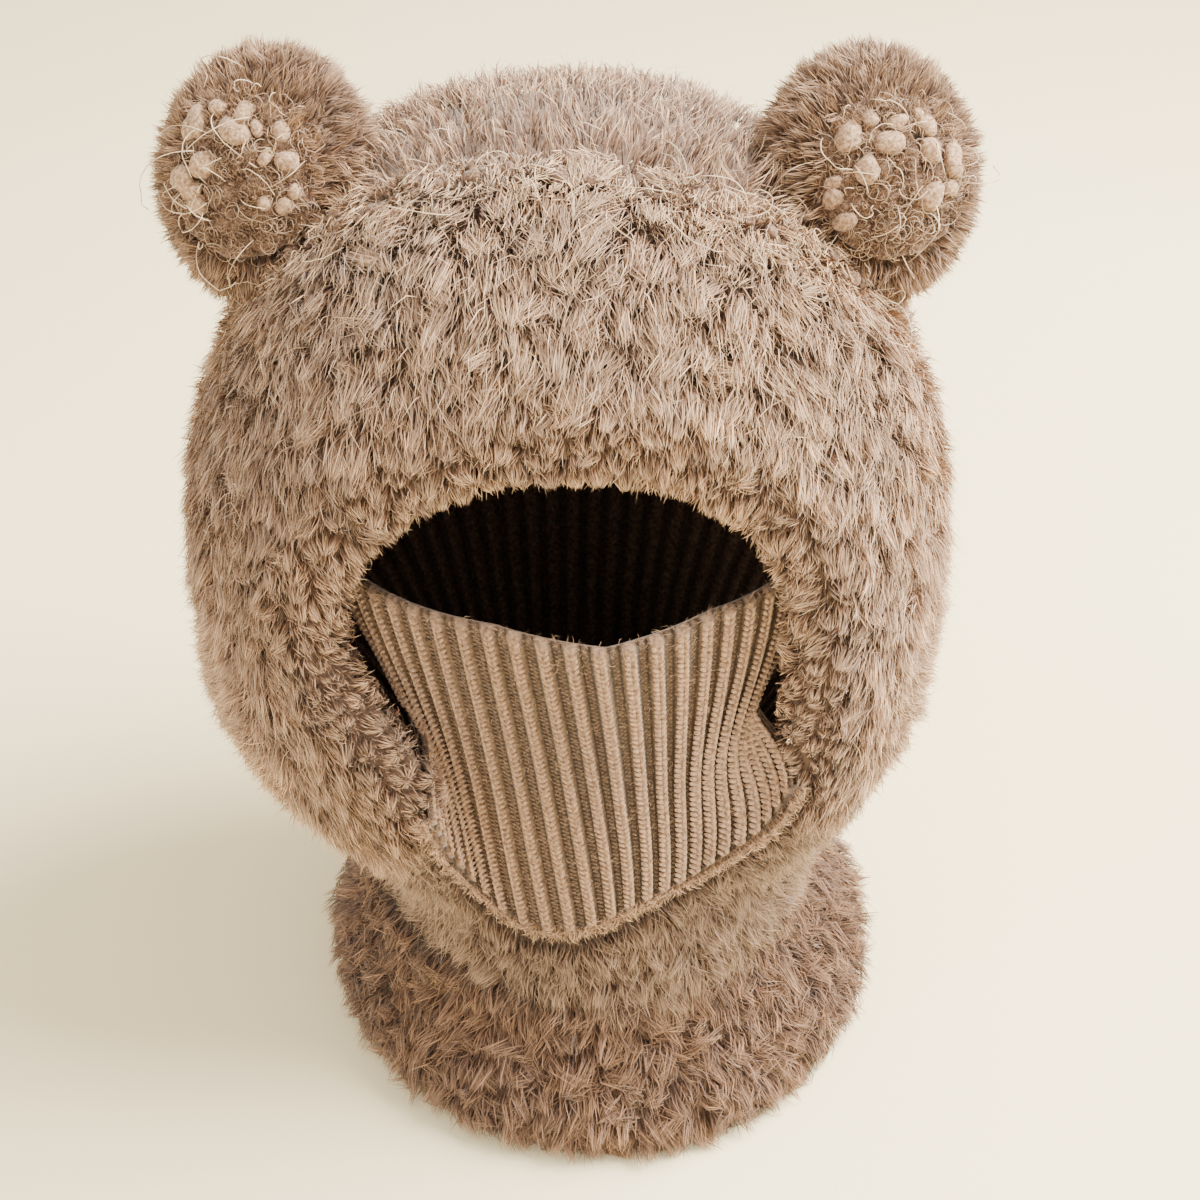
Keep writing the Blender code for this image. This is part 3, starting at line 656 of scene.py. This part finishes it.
def crownSurface():
    share, angle = grid(np.linspace(0, 1, 60), np.linspace(0, 360, hoodFur["columns"] + 1))
    seam = seamAt(angle)
    points = hoodPoint(faceDirection(angle, seam + (180.0 - seam) * share))
    away = unit(np.gradient(points, axis=0) + 1e-9)
    settled = (1 - hoodFur["crownSettle"] * ease(share * 1.6))[..., None]
    short, longer = hoodFur["crownLong"]
    return grownSurface(
        points, away * settled - np.array([0, 0, hoodFur["crownFall"]]),
        lift=hoodFur["lift"] + hoodFur["crownLift"] * (1 - ease(share * 3)),
        long=short + longer * ease(share * 2),
        keep=np.where(points[..., 2] < hood["waistHeight"] - hoodFur["overCollar"], 0.0, 1.0),
    )


def furHood():
    furry, ground = furMaterial("hoodFur", hoodFur), groundMaterial("hoodGround", hoodFur)
    piece = growGround("front_band", "bandGround", hoodFur, ground, "hood_fur")
    growGround("crown", "crownGround", hoodFur, ground, "hood_fur", hoodFur["crownCoarser"])
    band, crown = bandSurface(), crownSurface()
    for k, name in enumerate(("bandFurA", "bandFurB", "bandFurC")):
        furPiece(name, band, hoodFur, 11 + k, furry, "hood_fur")
    furPiece("crownFur", crown, {**hoodFur, "strands": hoodFur["crownStrands"]}, 21, furry, "hood_fur")
    stray = furMaterial("strayHair", strayHair)
    for surface, name in ((band, "bandStrays"), (crown, "crownStrays")):
        furPiece(name, surface, strayHair, 25, stray, "hood_fur")
    print("fur hood done")


collarFur = {
    **hoodFur,
    "halfWidth": 0.1125, "shift": (0.0155, -0.0080), "strands": 36000, "tufts": 1700,
    "lift": 38.0, "length": 0.0138, "swirl": 24.0, "tuftSwirl": 55.0, "tuftLift": 22.0,
    "floor": 0.0006, "clump": 0.95, "loose": 0.10, "topShare": 1.07, "softening": 4,
    # The collar's colours are darker than the hood's fur, partly as painted shade where the hood shades the
    # collar
    "root": (50, 31, 19), "middle": (104, 75, 54), "tip": (172, 139, 108),
    # share of the waist height, half width share, depth to width
    "table": (
        (0.00, 0.955, 1.07), (0.13, 1.000, 1.07), (0.31, 1.000, 1.07), (0.53, 0.930, 1.08),
        (0.72, 0.850, 1.10), (0.88, 0.810, 1.13), (1.00, 0.800, 1.15),
    ),
}


def collarSurface():
    table = np.array(collarFur["table"])
    share = np.linspace(collarFur["topShare"], 0.02, 34)
    share, turn = grid(share, np.radians(np.linspace(0, 360, 181)))
    width = collarFur["halfWidth"] * np.interp(share, table[:, 0], table[:, 1])
    depth = width * np.interp(share, table[:, 0], table[:, 2])
    settle = 1 - 0.5 * ease(share)
    points = np.stack([
        collarFur["shift"][0] * settle + width * np.sin(turn),
        collarFur["shift"][1] * settle - depth * np.cos(turn),
        share * hood["waistHeight"],
    ], axis=-1) + originShift
    return grownSurface(points, unit(np.gradient(points, axis=0)), collarFur["lift"])


def furCollar():
    ground = groundMaterial("collarGround", collarFur)
    piece = growGround("collar", "collarGround", collarFur, ground, "collar_fur")
    furPiece("collarFur", collarSurface(), collarFur, 31, furMaterial("collarFur", collarFur), "collar_fur")
    print("fur collar done")


earFur = {
    **hoodFur,
    "halfWidth": 0.0345, "halfHeight": 0.0405, "halfThickness": 0.0300, "standOff": 0.0165,
    "placeAngle": 32.0, "placePolar": 90.0, "tiltUp": 25.0, "turnOut": 12.0,
    "patchAngle": 44.0, "patchOverlap": 4.0, "patchSlant": 9.0, "backAngle": 172.0,
    "groundVoxel": 0.003, "groundInset": 0.0015, "strands": 14500, "tufts": 420,
    "length": 0.0080, "lift": 60.0, "liftSpread": 18.0, "bend": 20.0, "droop": 0.05,
    "width": 0.00040, "tuftSwirl": 40.0, "clump": 0.84,
    "root": (52, 33, 22), "middle": (122, 93, 70), "tip": (196, 166, 134),
}


def earFrame(side):
    middle = hoodPoint(faceDirection(side * earFur["placeAngle"], earFur["placePolar"]), earFur["standOff"])
    tilt, turn = math.radians(earFur["tiltUp"]), math.radians(earFur["turnOut"]) * side
    forward = np.array([
        math.sin(turn) * math.cos(tilt), -math.cos(turn) * math.cos(tilt), math.sin(tilt)
    ])
    right = unit(np.cross(forward, np.array([0.0, 0.0, 1.0])))
    return middle, right, np.cross(right, forward), forward


def earPoint(side, polar, turn, outward=0.0):
    middle, right, up, forward = earFrame(side)
    tilt = np.radians(polar)
    parts = (np.sin(tilt) * np.sin(turn), np.sin(tilt) * np.cos(turn), np.cos(tilt) + 0 * turn)
    sizes = (earFur["halfWidth"], earFur["halfHeight"], earFur["halfThickness"])
    radius = 1.0 / np.sqrt(sum((part / size) ** 2 for part, size in zip(parts, sizes))) + outward
    return middle + sum((radius * part)[..., None] * axis for part, axis in zip(parts, (right, up, forward)))


def earSurface(side):
    share, turn = grid(np.linspace(0, 1, 46), np.linspace(0, 2 * np.pi, 73))
    first = earFur["patchAngle"] - earFur["patchOverlap"] - earFur["patchSlant"] * np.cos(turn)
    points = earPoint(side, first + (earFur["backAngle"] - first) * share, turn)
    lay = unit(np.gradient(points, axis=0)) + np.array([0, 0, 0.1])
    offset = points - hoodCentre - originShift
    outside = np.linalg.norm(offset, axis=-1) > hoodRadius(unit(offset)) + 0.002
    return grownSurface(points, lay, earFur["lift"], keep=np.where(outside, 1.0, 0.0))


def furEars():
    furry, ground = furMaterial("earFur", earFur), groundMaterial("earGround", earFur)
    for side, word in ((-1, "Left"), (1, "Right")):
        piece = growGround("ear_" + word.lower(), "earGround" + word, earFur, ground, "ear_fur")
        furPiece("earFur" + word, earSurface(side), earFur, 41 + side, furry, "ear_fur")
    print("fur ears done")


patch = {
    "thickness": 0.0050, "clearance": 0.0004, "unevenness": 0.0007,
    "lumpUneven": 0.22, "lumpStretch": 0.55, "lumpFlatten": 0.25, "nubs": 16,
    "nubRadius": (0.0022, 0.0046), "nubArc": 2.2, "loops": 200, "loopRadius": (0.0011, 0.0030),
    "loopThickness": 0.00015, "loopLift": 0.0012, "loopSweeps": (2.4, 6.0), "hairs": 30,
    "hairRadius": (0.004, 0.011), "hairThickness": 0.00018, "hairLift": 0.0030,
    "hairSweeps": (0.7, 2.2), "fuzzLift": 35.0,
    "dark": (62, 42, 30), "base": (112, 86, 66), "light": (168, 138, 112),
    "cool": (240, 236, 238), "warm": (255, 250, 244), "sheen": 0.2, "fibreScale": 900.0,
    "loopDark": (104, 78, 58), "loopLight": (186, 158, 128),
    "hairDark": (160, 132, 102), "hairLight": (236, 212, 178),
}
nubLook = {**patch, "dark": (112, 84, 62), "base": (168, 138, 108), "light": (214, 186, 152)}
patchFuzz = {
    **earFur, "strands": 4200, "tufts": 200, "length": 0.0036, "swirl": 90.0, "clump": 0.5,
    "middle": (118, 90, 68), "tip": (172, 142, 114),
}


def blobForm():
    shape = bmesh.new()
    bmesh.ops.create_icosphere(shape, subdivisions=2, radius=1.0)
    points = np.array([vert.co for vert in shape.verts])
    shape.verts.ensure_lookup_table()
    faces = np.array([[vert.index for vert in face.verts] for face in shape.faces])
    shape.free()
    return points, faces


# Lumps of felted yarn, each one uneven in its own way
def lumpMesh(name, places, normals, sizes, rng):
    form, formFaces = blobForm()
    meshPoints = []
    for place, normal, size in zip(places, normals, sizes):
        phases = rng.uniform(0, 2 * np.pi, (3, 3))
        uneven = sum(np.sin(form[:, a] * 3.1 + phases[a, a]) for a in range(3)) / 3
        uneven += 0.5 * sum(np.sin(form[:, a] * 6.3 + phases[0, a]) for a in range(3)) / 3
        points = form * (1 + patch["lumpUneven"] * uneven)[:, None] * size
        longest = unit(onSkin(rng.normal(0, 1, 3), normal))
        points += (points @ longest)[:, None] * longest * rng.uniform(0.0, patch["lumpStretch"])
        meshPoints.append(place + points - patch["lumpFlatten"] * (points @ normal)[:, None] * normal)
    faces = repeatFaces(formFaces, len(form), len(places))
    return meshFromArrays(name, np.concatenate(meshPoints), faces)


# Curls and arcs of loose yarn, each with its own sweep, growth and rise
def curlPaths(places, normals, radii, rng, sweeps, steps=11):
    count, along = len(places), np.linspace(0, 1, steps)[None]
    first = onSkin(rng.normal(0, 1, (count, 3)), normals)
    second = np.cross(normals, first)
    sweep = rng.uniform(*sweeps, count)[:, None] * along
    grow = 1 + 0.5 * along * rng.uniform(-1, 1.5, count)[:, None]
    rise = np.sin(np.pi * along) * rng.uniform(0.2, 0.9, count)[:, None]
    radius = radii[:, None] * grow * (1 + np.cumsum(rng.normal(0, 0.07, (count, steps)), axis=1))
    drift = rng.normal(0, 0.6, (count, 1)) * along * radii[:, None]
    return (
        places[:, None]
        + first[:, None] * (radius * np.sin(sweep) + drift)[..., None]
        + second[:, None] * (radius * (1 - np.cos(sweep)) - radii[:, None])[..., None]
        + normals[:, None] * (rise * radii[:, None])[..., None]
    )


def curlPiece(name, paths, thickness, material):
    newPiece(name, tubeMesh(name, paths, thickness), material, "nubby_yarn")


def patchSurface(side, outward):
    polar, turn = grid(np.linspace(0.5, earFur["patchAngle"] + 2, 26), np.linspace(0, 2 * np.pi, 61))
    up = earFrame(side)[2]
    return grownSurface(earPoint(side, polar, turn, outward), up, patch["fuzzLift"])


def earPatches():
    groundYarn, nubYarn = yarnMaterial("patchYarn", patch), yarnMaterial("nubYarn", nubLook)
    curlYarns = [
        (kind, curlMaterial(kind + "Yarn", patch[kind + "Dark"], patch[kind + "Light"]))
        for kind in ("loop", "hair")
    ]
    for side, word in ((-1, "Left"), (1, "Right")):
        rng = np.random.default_rng(61 + side)
        surface = patchSurface(side, patch["thickness"] * 0.6)
        points = surface["points"]
        lumps = np.sin(points @ np.array([520.0, 310.0, 0.0]))
        lumps = lumps + np.sin(points @ np.array([-200.0, 150.0, 610.0]))
        front = points + surface["normals"] * (patch["unevenness"] * lumps)[..., None]
        rows = np.concatenate([front, patchSurface(side, patch["clearance"])["points"][::-1]])
        base = meshFromArrays("patchBase" + word, rows, gridFaces(*rows.shape[:2]))
        newPiece("patchBase" + word, base, groundYarn, "nubby_yarn", "ear_patch_" + word.lower())
        # The nubs sit in an uneven arc round the upper edge, and a few lie lower down
        count, arc = patch["nubs"], patch["nubArc"]
        turn = np.linspace(-arc, arc, count) + rng.uniform(-0.12, 0.12, count)
        polar = earFur["patchAngle"] * rng.uniform(0.66, 0.92, count)
        polar[::4] *= 0.62
        spots = earPoint(side, polar, turn, patch["thickness"] * 0.75)
        facing = unit(spots - earFrame(side)[0])
        nubs = lumpMesh("patchNubs" + word, spots, facing, rng.uniform(*patch["nubRadius"], count), rng)
        newPiece("patchNubs" + word, nubs, nubYarn, "nubby_yarn")
        for kind, yarn in curlYarns:
            curls = scatter(surface, patch[kind + "s"], rng)
            radii = rng.uniform(*patch[kind + "Radius"], patch[kind + "s"])
            lifted = curls["point"] + curls["normal"] * patch[kind + "Lift"]
            paths = curlPaths(lifted, curls["normal"], radii, rng, patch[kind + "Sweeps"])
            curlPiece("patch" + kind.title() + "s" + word, paths, patch[kind + "Thickness"], yarn)
        fuzz = furMaterial("patchFuzz" + word, patchFuzz)
        furPiece("patchFuzz" + word, surface, patchFuzz, 65, fuzz, "nubby_yarn")
    print("ear patches done")


hoodSeam = {
    "reach": 39.0, "radius": 0.0032, "nubs": 60, "nubRadius": (0.0014, 0.0030), "curls": 60,
    "curlRadius": (0.003, 0.009), "curlReach": 43.0, "curlSweeps": (1.2, 3.6), "halfWidth": 3.2,
    "frayReach": 88.0, "frayHeight": 0.0025, "thinning": 0.55,
}
seamFray = {
    **hoodFur, "strands": 6400, "tufts": 150, "length": 0.0085, "swirl": 40.0, "clump": 0.7,
    "width": 0.0004, "lift": 50.0,
    "root": (110, 82, 58), "middle": (184, 152, 120), "tip": (240, 216, 180),
}


def seamRidge():
    rng = np.random.default_rng(71)
    angle = np.linspace(-hoodSeam["reach"], hoodSeam["reach"], hoodSeam["nubs"])
    angle = angle + rng.uniform(-1.2, 1.2, len(angle))
    direction = faceDirection(angle, seamAt(angle) + rng.uniform(-1.1, 1.1, len(angle)))
    places = hoodPoint(direction, hoodSeam["radius"] * rng.uniform(0.6, 1.9, len(angle)))
    nubs = lumpMesh("seamNubs", places, direction, rng.uniform(*hoodSeam["nubRadius"], len(angle)), rng)
    newPiece("seamNubs", nubs, yarnMaterial("seamYarn", patch), "nubby_yarn", "hood_seam")
    turn = rng.uniform(-hoodSeam["curlReach"], hoodSeam["curlReach"], hoodSeam["curls"])
    direction = faceDirection(turn, seamAt(turn) + rng.normal(0, 2.5, len(turn)))
    places = hoodPoint(direction, 0.004 + 0.004 * rng.random(len(turn)))
    radii = rng.uniform(*hoodSeam["curlRadius"], len(turn))
    paths = curlPaths(places, direction, radii, rng, hoodSeam["curlSweeps"])
    seamYarn = curlMaterial("seamYarn", patch["hairDark"], patch["hairLight"])
    curlPiece("seamCurls", paths, patch["hairThickness"], seamYarn)
    # Frayed pale fibres that stand along the ridge and hide most of the nubs
    off, turn = grid(
        np.linspace(-1, 1, 9) * hoodSeam["halfWidth"],
        np.linspace(-hoodSeam["frayReach"], hoodSeam["frayReach"], 120),
    )
    # Beyond the ears only a few fibres close the join
    beyond = ease((np.abs(turn) - hoodSeam["reach"] - 2) / 6)
    points = hoodPoint(faceDirection(turn, seamAt(turn) - off), hoodSeam["frayHeight"] + 0 * off)
    growFray("seamFray", points, seamFray, 73, 1 - hoodSeam["thinning"] * beyond)
    print("seam ridge done")


# A line along the rolled rim, from the mask's left end at -1 to its right end at 1
def maskLow(across, tuck, outward):
    angle = chinAngle() - across * (mask["leftAngle"] - mask["rightAngle"]) / 2
    polar = rimAt(angle) + np.degrees(tuck / hood["frontDepth"])
    return hoodPoint(faceDirection(angle, polar), outward + 0 * across)


# Pinches and bulge at a share of the height, smoothed between the table's rows
def maskRow(share, column):
    table = np.array(mask["table"])
    steps = mask["smoothing"] * np.array([-1.0, -0.5, 0.0, 0.5, 1.0])
    return np.mean([np.interp(share + step, table[:, 0], table[:, column]) for step in steps], axis=0)


def maskPoint(across, share):
    low = maskLow(across, mask["tuck"], -mask["seamDepth"]) - originShift
    halfWidth = mask["topWidthShare"] * hood["openingHalfHeight"]
    curl = mask["topCurl"] * across
    depthShare = mask["endsDepthShare"] + mask["bowShare"] * np.cos(curl)
    fromNotch = np.abs(across - mask["notchPlace"]) / mask["notchHalfSpan"]
    notch = mask["notchDepth"] * np.maximum(0, 1 - fromNotch)
    top = np.stack([
        mask["topShift"] + halfWidth * np.sin(curl) / math.sin(mask["topCurl"]),
        -depthShare * hood["frontDepth"] - notch,
        mask["topHeight"] + mask["endsLift"] * across**2 - notch / 2,
    ], axis=-1)
    place = low + (top - low) * share[..., None]
    left, right, bulge = (maskRow(share, column) for column in (1, 2, 3))
    place[..., 0] *= 1 - np.where(across < 0, left, right) * np.abs(across) ** 1.5
    place[..., 1] -= bulge * hood["frontDepth"]
    # The lowest part laps over the rolled rim, as far as the binding chain
    lap = maskLow(across, mask["lapTuck"], mask["lapOut"]) - originShift
    nearness = np.maximum(0, 1 - share / mask["lapShare"]) ** mask["lapCurve"]
    return place + (lap - low) * nearness[..., None] + originShift


def maskFrame(across, share):
    step = 0.012
    sideways = unit(maskPoint(across + step, share) - maskPoint(across - step, share))
    upward = maskPoint(across, share + step) - maskPoint(across, share - step)
    normal = unit(np.cross(sideways, upward))
    return maskPoint(across, share), sideways, np.cross(normal, sideways), normal


# Width of the light ridges: narrow at the left, wide at the right
def ridgeShare(across):
    return mask["ridgeLeft"] + mask["ridgeGain"] * ease((across + 0.4) / 0.9)


# How far a place is from the middle of its ridge, past the ridge's own width
def pastRidge(across):
    phase = np.mod((across + 1) * mask["ribs"] / 2, 1.0)
    return np.abs(phase - 0.5) * 2 - ridgeShare(across)


def ribProfile(across):
    return ease((0.30 - pastRidge(across)) / 0.45)


# How light the knit is: pale crests in the yarn's colour, painted shade in the dark creases beside them, and
# a middle tone of painted shade in the nubby valleys
def paintedKnitShade(across):
    crest = ease((0.12 - pastRidge(across)) / 0.22)
    valley = ease((pastRidge(across) - 0.16) / 0.25)
    return 0.66 * crest + 0.34 * valley


def ribbedMask():
    columns = mask["ribs"] * mask["columnsPerRib"] + 1
    hem = 1 - mask["hemShare"]
    overHem = hem + mask["hemShare"] * np.sin(np.linspace(0, np.pi / 2, 6)[1:])
    share = np.concatenate([np.linspace(0, hem, mask["rows"]), overHem])
    share, wide = grid(share, np.linspace(-1, 1, columns))
    place, _, _, normal = maskFrame(wide, share)
    half = mask["thickness"] / 2
    pastHem = (share - hem) / mask["hemShare"]
    edge = np.sqrt(np.clip(1 - pastHem.clip(0, 1) ** 2, 0.01, 1))
    swell = 1 + mask["hemSwell"] * np.exp(-pastHem ** 2)
    rise = mask["crestHeight"] * ribProfile(wide) - mask["valleyDepth"] * (1 - ribProfile(wide))
    front = place + normal * ((half * swell + rise) * edge)[..., None]
    back = place - normal * (half * swell * edge)[..., None]
    rows = np.concatenate([front, back[::-1]])
    mesh = meshFromArrays("maskSheet", rows, gridFaces(*rows.shape[:2], closed=True))
    # The front's ridge values are painted shade in the creases and valleys; the back has a fixed middle
    # value
    addShares(mesh, "ridge", np.concatenate([paintedKnitShade(wide), 0 * wide + 0.4]).ravel())
    knit = maskKnit()
    sheet = newPiece("maskSheet", mesh, knit, "mask_knit", "face_mask")
    stitches = maskStitches(knit)
    long, keep = 1 + 1.1 * ease(pastHem), 1 + 1.5 * (share > hem)
    surface = grownSurface(front, np.array([0.3, 0, 1.0]), 38, long, keep)
    furPiece("maskFuzz", surface, maskFuzz, 81, furMaterial("maskFuzz", maskFuzz), "mask_knit")


def maskKnit():
    nodes = Nodes("maskKnit")
    fibres = nodes.noise(mask["fibreScale"], 6.0)
    ridge = nodes.add("ShaderNodeAttribute", attribute_name="ridge").outputs["Fac"]
    # From near-black painted shade in the creases to the yarn's colour on the crests
    colour = nodes.ramp(ridge, (0.0, mask["valley"]), (1.0, mask["ridge"]))
    fuzzy = nodes.ramp(fibres, (0.3, mask["fibreDark"]), (0.62, (255, 255, 255)))
    wide = nodes.ramp(nodes.noise(14.0, 3.0), (0.3, mask["cool"]), (0.7, mask["warm"]))
    colour = nodes.times(colour, fuzzy, wide)
    return nodes.finish(colour, (fibres, 0.75, 0.95), (fibres, 0.8, 0.0005), 0.25, 0.2)


# Leaning legs up each crest of the mask, and short bars up each valley
def maskStitches(knit):
    half = mask["thickness"] / 2
    fine = np.linspace(0.01, 0.985, 200)
    legs, purls = ([], []), ([], [])
    for step in range(1, 2 * mask["ribs"]):
        across, isLeg = step / mask["ribs"] - 1, step % 2 == 1
        pitch = mask["stitchPitch"] if isLeg else mask["purlPitch"]
        share = evenShares(maskPoint(np.full(200, across), fine), fine, pitch)
        place, sideways, upward, normal = maskFrame(np.full(len(share), across), share)
        wide = ridgeShare(across) / mask["ridgeLeft"]
        if isLeg:
            crest = place + normal * (half + mask["crestHeight"])
            places, axes = stitchLegs(crest, upward, sideways, normal, mask, wide)
            legs[0].extend(places)
            legs[1].extend(axes)
            continue
        valley = place + normal * (half - mask["valleyDepth"] + mask["purlRise"])
        for side in (-1, 1):
            aside = sideways * mask["purlSpread"] / wide + upward * mask["purlStep"] * pitch
            purls[0].append(valley + aside * side)
            purls[1].append(np.stack([
                upward * mask["purlWidth"], sideways * mask["purlLength"] / wide,
                normal * mask["purlDepth"],
            ], axis=1))
    made = []
    # The purl bars in the valleys take a middle value of painted shade
    for name, form, parts, tone in (
        ("maskStitches", spindleForm(4, (-0.45, 0.45), (0.95, 0.95)), legs, 1.0),
        ("maskPurls", spindleForm(4, (0.0,), (1.0,)), purls, mask["purlPaintedShade"]),
    ):
        mesh = stampMesh(name, form, *parts)
        addShares(mesh, "ridge", np.full(len(mesh.vertices), tone))
        made.append(newPiece(name, mesh, knit, "mask_knit"))
    return made


# The binding chain along the mask's lower edge
maskEdge = {
    "standOut": 0.0010, "tuck": 0.0010, "pitch": 0.0026, "legLean": 24.0, "legLength": 0.0021,
    "legWidth": 0.0008, "legDepth": 0.0009, "legSpread": 0.0007, "frayBelow": -0.0016,
    "frayAbove": 0.0030, "frayOut": 0.0012,
    "dark": (70, 46, 30), "base": (138, 108, 82), "light": (196, 166, 134),
}
chainFray = {
    **hoodFur, "strands": 1700, "tufts": 240, "length": 0.0048, "swirl": 80.0, "tuftSwirl": 70.0,
    "clump": 0.9, "width": 0.0003, "lift": 30.0,
    "root": (110, 82, 58), "middle": (168, 136, 106), "tip": (228, 202, 168),
}


def bindingChain():
    tuck, out = maskEdge["tuck"], maskEdge["standOut"]
    across = np.linspace(-1, 1, 400)
    share = evenShares(maskLow(across, tuck, out), across, maskEdge["pitch"])
    place = maskLow(share, tuck, out)
    ahead = unit(maskLow(share + 0.004, tuck, out) - place)
    outward = onSkin(unit(place - hoodCentre), ahead)
    legs = stitchLegs(place, ahead, np.cross(ahead, outward), outward, maskEdge)
    mesh = stampMesh("maskChain", spindleForm(5, (-0.55, 0.0, 0.55), (0.7, 1.0, 0.7)), *legs)
    yarn = yarnMaterial("chainYarn", {**patch, **maskEdge})
    newPiece("maskChain", mesh, yarn, "mask_knit", "mask_seam")
    off, wide = grid(
        np.linspace(maskEdge["frayBelow"], maskEdge["frayAbove"], 7), np.linspace(-1, 1, 120)
    )
    growFray("chainFray", maskLow(wide, tuck - off[::-1], maskEdge["frayOut"]), chainFray, 77)
    print("binding chain done")


lining = {
    "ribs": 70, "radius": 0.11, "dark": (74, 54, 42), "light": (140, 112, 92),
    "creaseShade": (176, 170, 164), "fibreScale": 700.0,
}


def liningMaterial():
    # Upright ribs run round the tube, so their pattern follows the direction from its middle
    nodes = Nodes("liningKnit")
    place = nodes.add("ShaderNodeTexCoord").outputs["Object"]
    parts = nodes.add("ShaderNodeSeparateXYZ", {"Vector": place}).outputs
    turn = nodes.add("ShaderNodeMath", {0: parts["X"], 1: parts["Y"]}, operation="ARCTAN2")
    wide = nodes.add("ShaderNodeMath", {0: turn.outputs[0]}, operation="MULTIPLY")
    wide.inputs[1].default_value = lining["ribs"]
    wave = nodes.add("ShaderNodeMath", {0: wide.outputs[0]}, operation="SINE")
    ribs = nodes.span(wave.outputs[0], 0.0, 1.0)
    ribs.node.inputs["From Min"].default_value = -1.0
    fibres = nodes.ramp(
        nodes.noise(lining["fibreScale"], 6.0), (0.3, lining["dark"]), (0.7, lining["light"])
    )
    # The ribs' creases are darkened as painted shade
    colour = nodes.times(fibres, nodes.ramp(ribs, (0.1, lining["creaseShade"]), (0.7, (1, 1, 1, 1))))
    return nodes.finish(colour, (nodes.noise(60.0), 0.8, 0.95), (ribs, 1.0, 0.002))


def ribbedLining():
    mesh, shape = weldedCopy("lining")
    bmesh.ops.subdivide_edges(shape, edges=shape.edges, cuts=1, use_grid_fill=True)
    bmesh.ops.smooth_vert(
        shape, verts=shape.verts, factor=0.5, use_axis_x=True, use_axis_y=True, use_axis_z=True
    )
    shape.to_mesh(mesh)
    shape.free()
    mesh.shade_smooth()
    piece = newPiece("liningSheet", mesh, liningMaterial(), "lining_knit", "lining")


stage = {
    "size": 6.0, "colour": (255, 240, 198), "colourTwo": (253, 234, 184),
    "sky": (250, 246, 238), "skyStrength": 1.5, "aim": (0.0, 0.0, 0.2),
    # place, size, watts and colour of the two soft lamps
    "key": ((1.05, 0.10, 1.40), 1.3, 150.0, (1.0, 0.96, 0.90)),
    "fill": ((-1.2, -1.1, 0.9), 1.4, 18.0, (1.0, 0.92, 0.78)),
}


def paleFloor():
    shape = bmesh.new()
    bmesh.ops.create_grid(shape, x_segments=20, y_segments=20, size=stage["size"] / 2)
    mesh = bpy.data.meshes.new("floor")
    shape.to_mesh(mesh)
    shape.free()
    floor = inScene("floor", mesh)
    nodes = Nodes("paleFloor")
    cloudy = nodes.noise(1.6, 2.0)
    colour = nodes.ramp(cloudy, (0.3, stage["colourTwo"]), (0.7, stage["colour"]))
    finish = nodes.finish(colour, (cloudy, 0.85, 0.95), (nodes.noise(300.0), 0.03, 0.0005))
    mesh.materials.append(finish)
    floor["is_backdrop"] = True


def standing(name, data, place, aim):
    thing = inScene(name, data)
    thing.location = place
    thing.rotation_euler = (Vector(aim) - Vector(place)).to_track_quat("-Z", "Y").to_euler()
    return thing


def softLight(name):
    place, size, watts, colour = stage[name]
    light = bpy.data.lights.new(name, "AREA")
    light.shape, light.size, light.energy, light.color = "DISK", size, watts, colour
    standing(name, light, place, stage["aim"])


# The photograph's view: elevation in degrees, distance, and the height that it looks at
view = {"elevation": 37.0, "distance": 0.78, "aimHeight": 0.186, "lens": 58.8, "shift": 0.0267}


def camera():
    rise, height = math.radians(view["elevation"]), view["aimHeight"]
    data = bpy.data.cameras.new("camera")
    data.lens, data.sensor_width, data.shift_x = view["lens"], 36.0, view["shift"]
    place = (0.0, -view["distance"] * math.cos(rise), height + view["distance"] * math.sin(rise))
    bpy.context.scene.camera = standing("camera", data, place, (0.0, 0.0, height))


def studio():
    world = bpy.data.worlds.new("studio")
    world.use_nodes = True
    sky = world.node_tree.nodes["Background"].inputs
    sky["Color"].default_value = tint(*stage["sky"])
    sky["Strength"].default_value = stage["skyStrength"]
    bpy.context.scene.world = world
    softLight("key")
    softLight("fill")
    paleFloor()
    camera()
    print("studio done")


furHood()
furCollar()
furEars()
earPatches()
seamRidge()
ribbedMask()
bindingChain()
ribbedLining()
studio()

triangles = sum(len(face.vertices) - 2 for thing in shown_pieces() for face in thing.data.polygons)
print("triangles in all", triangles)
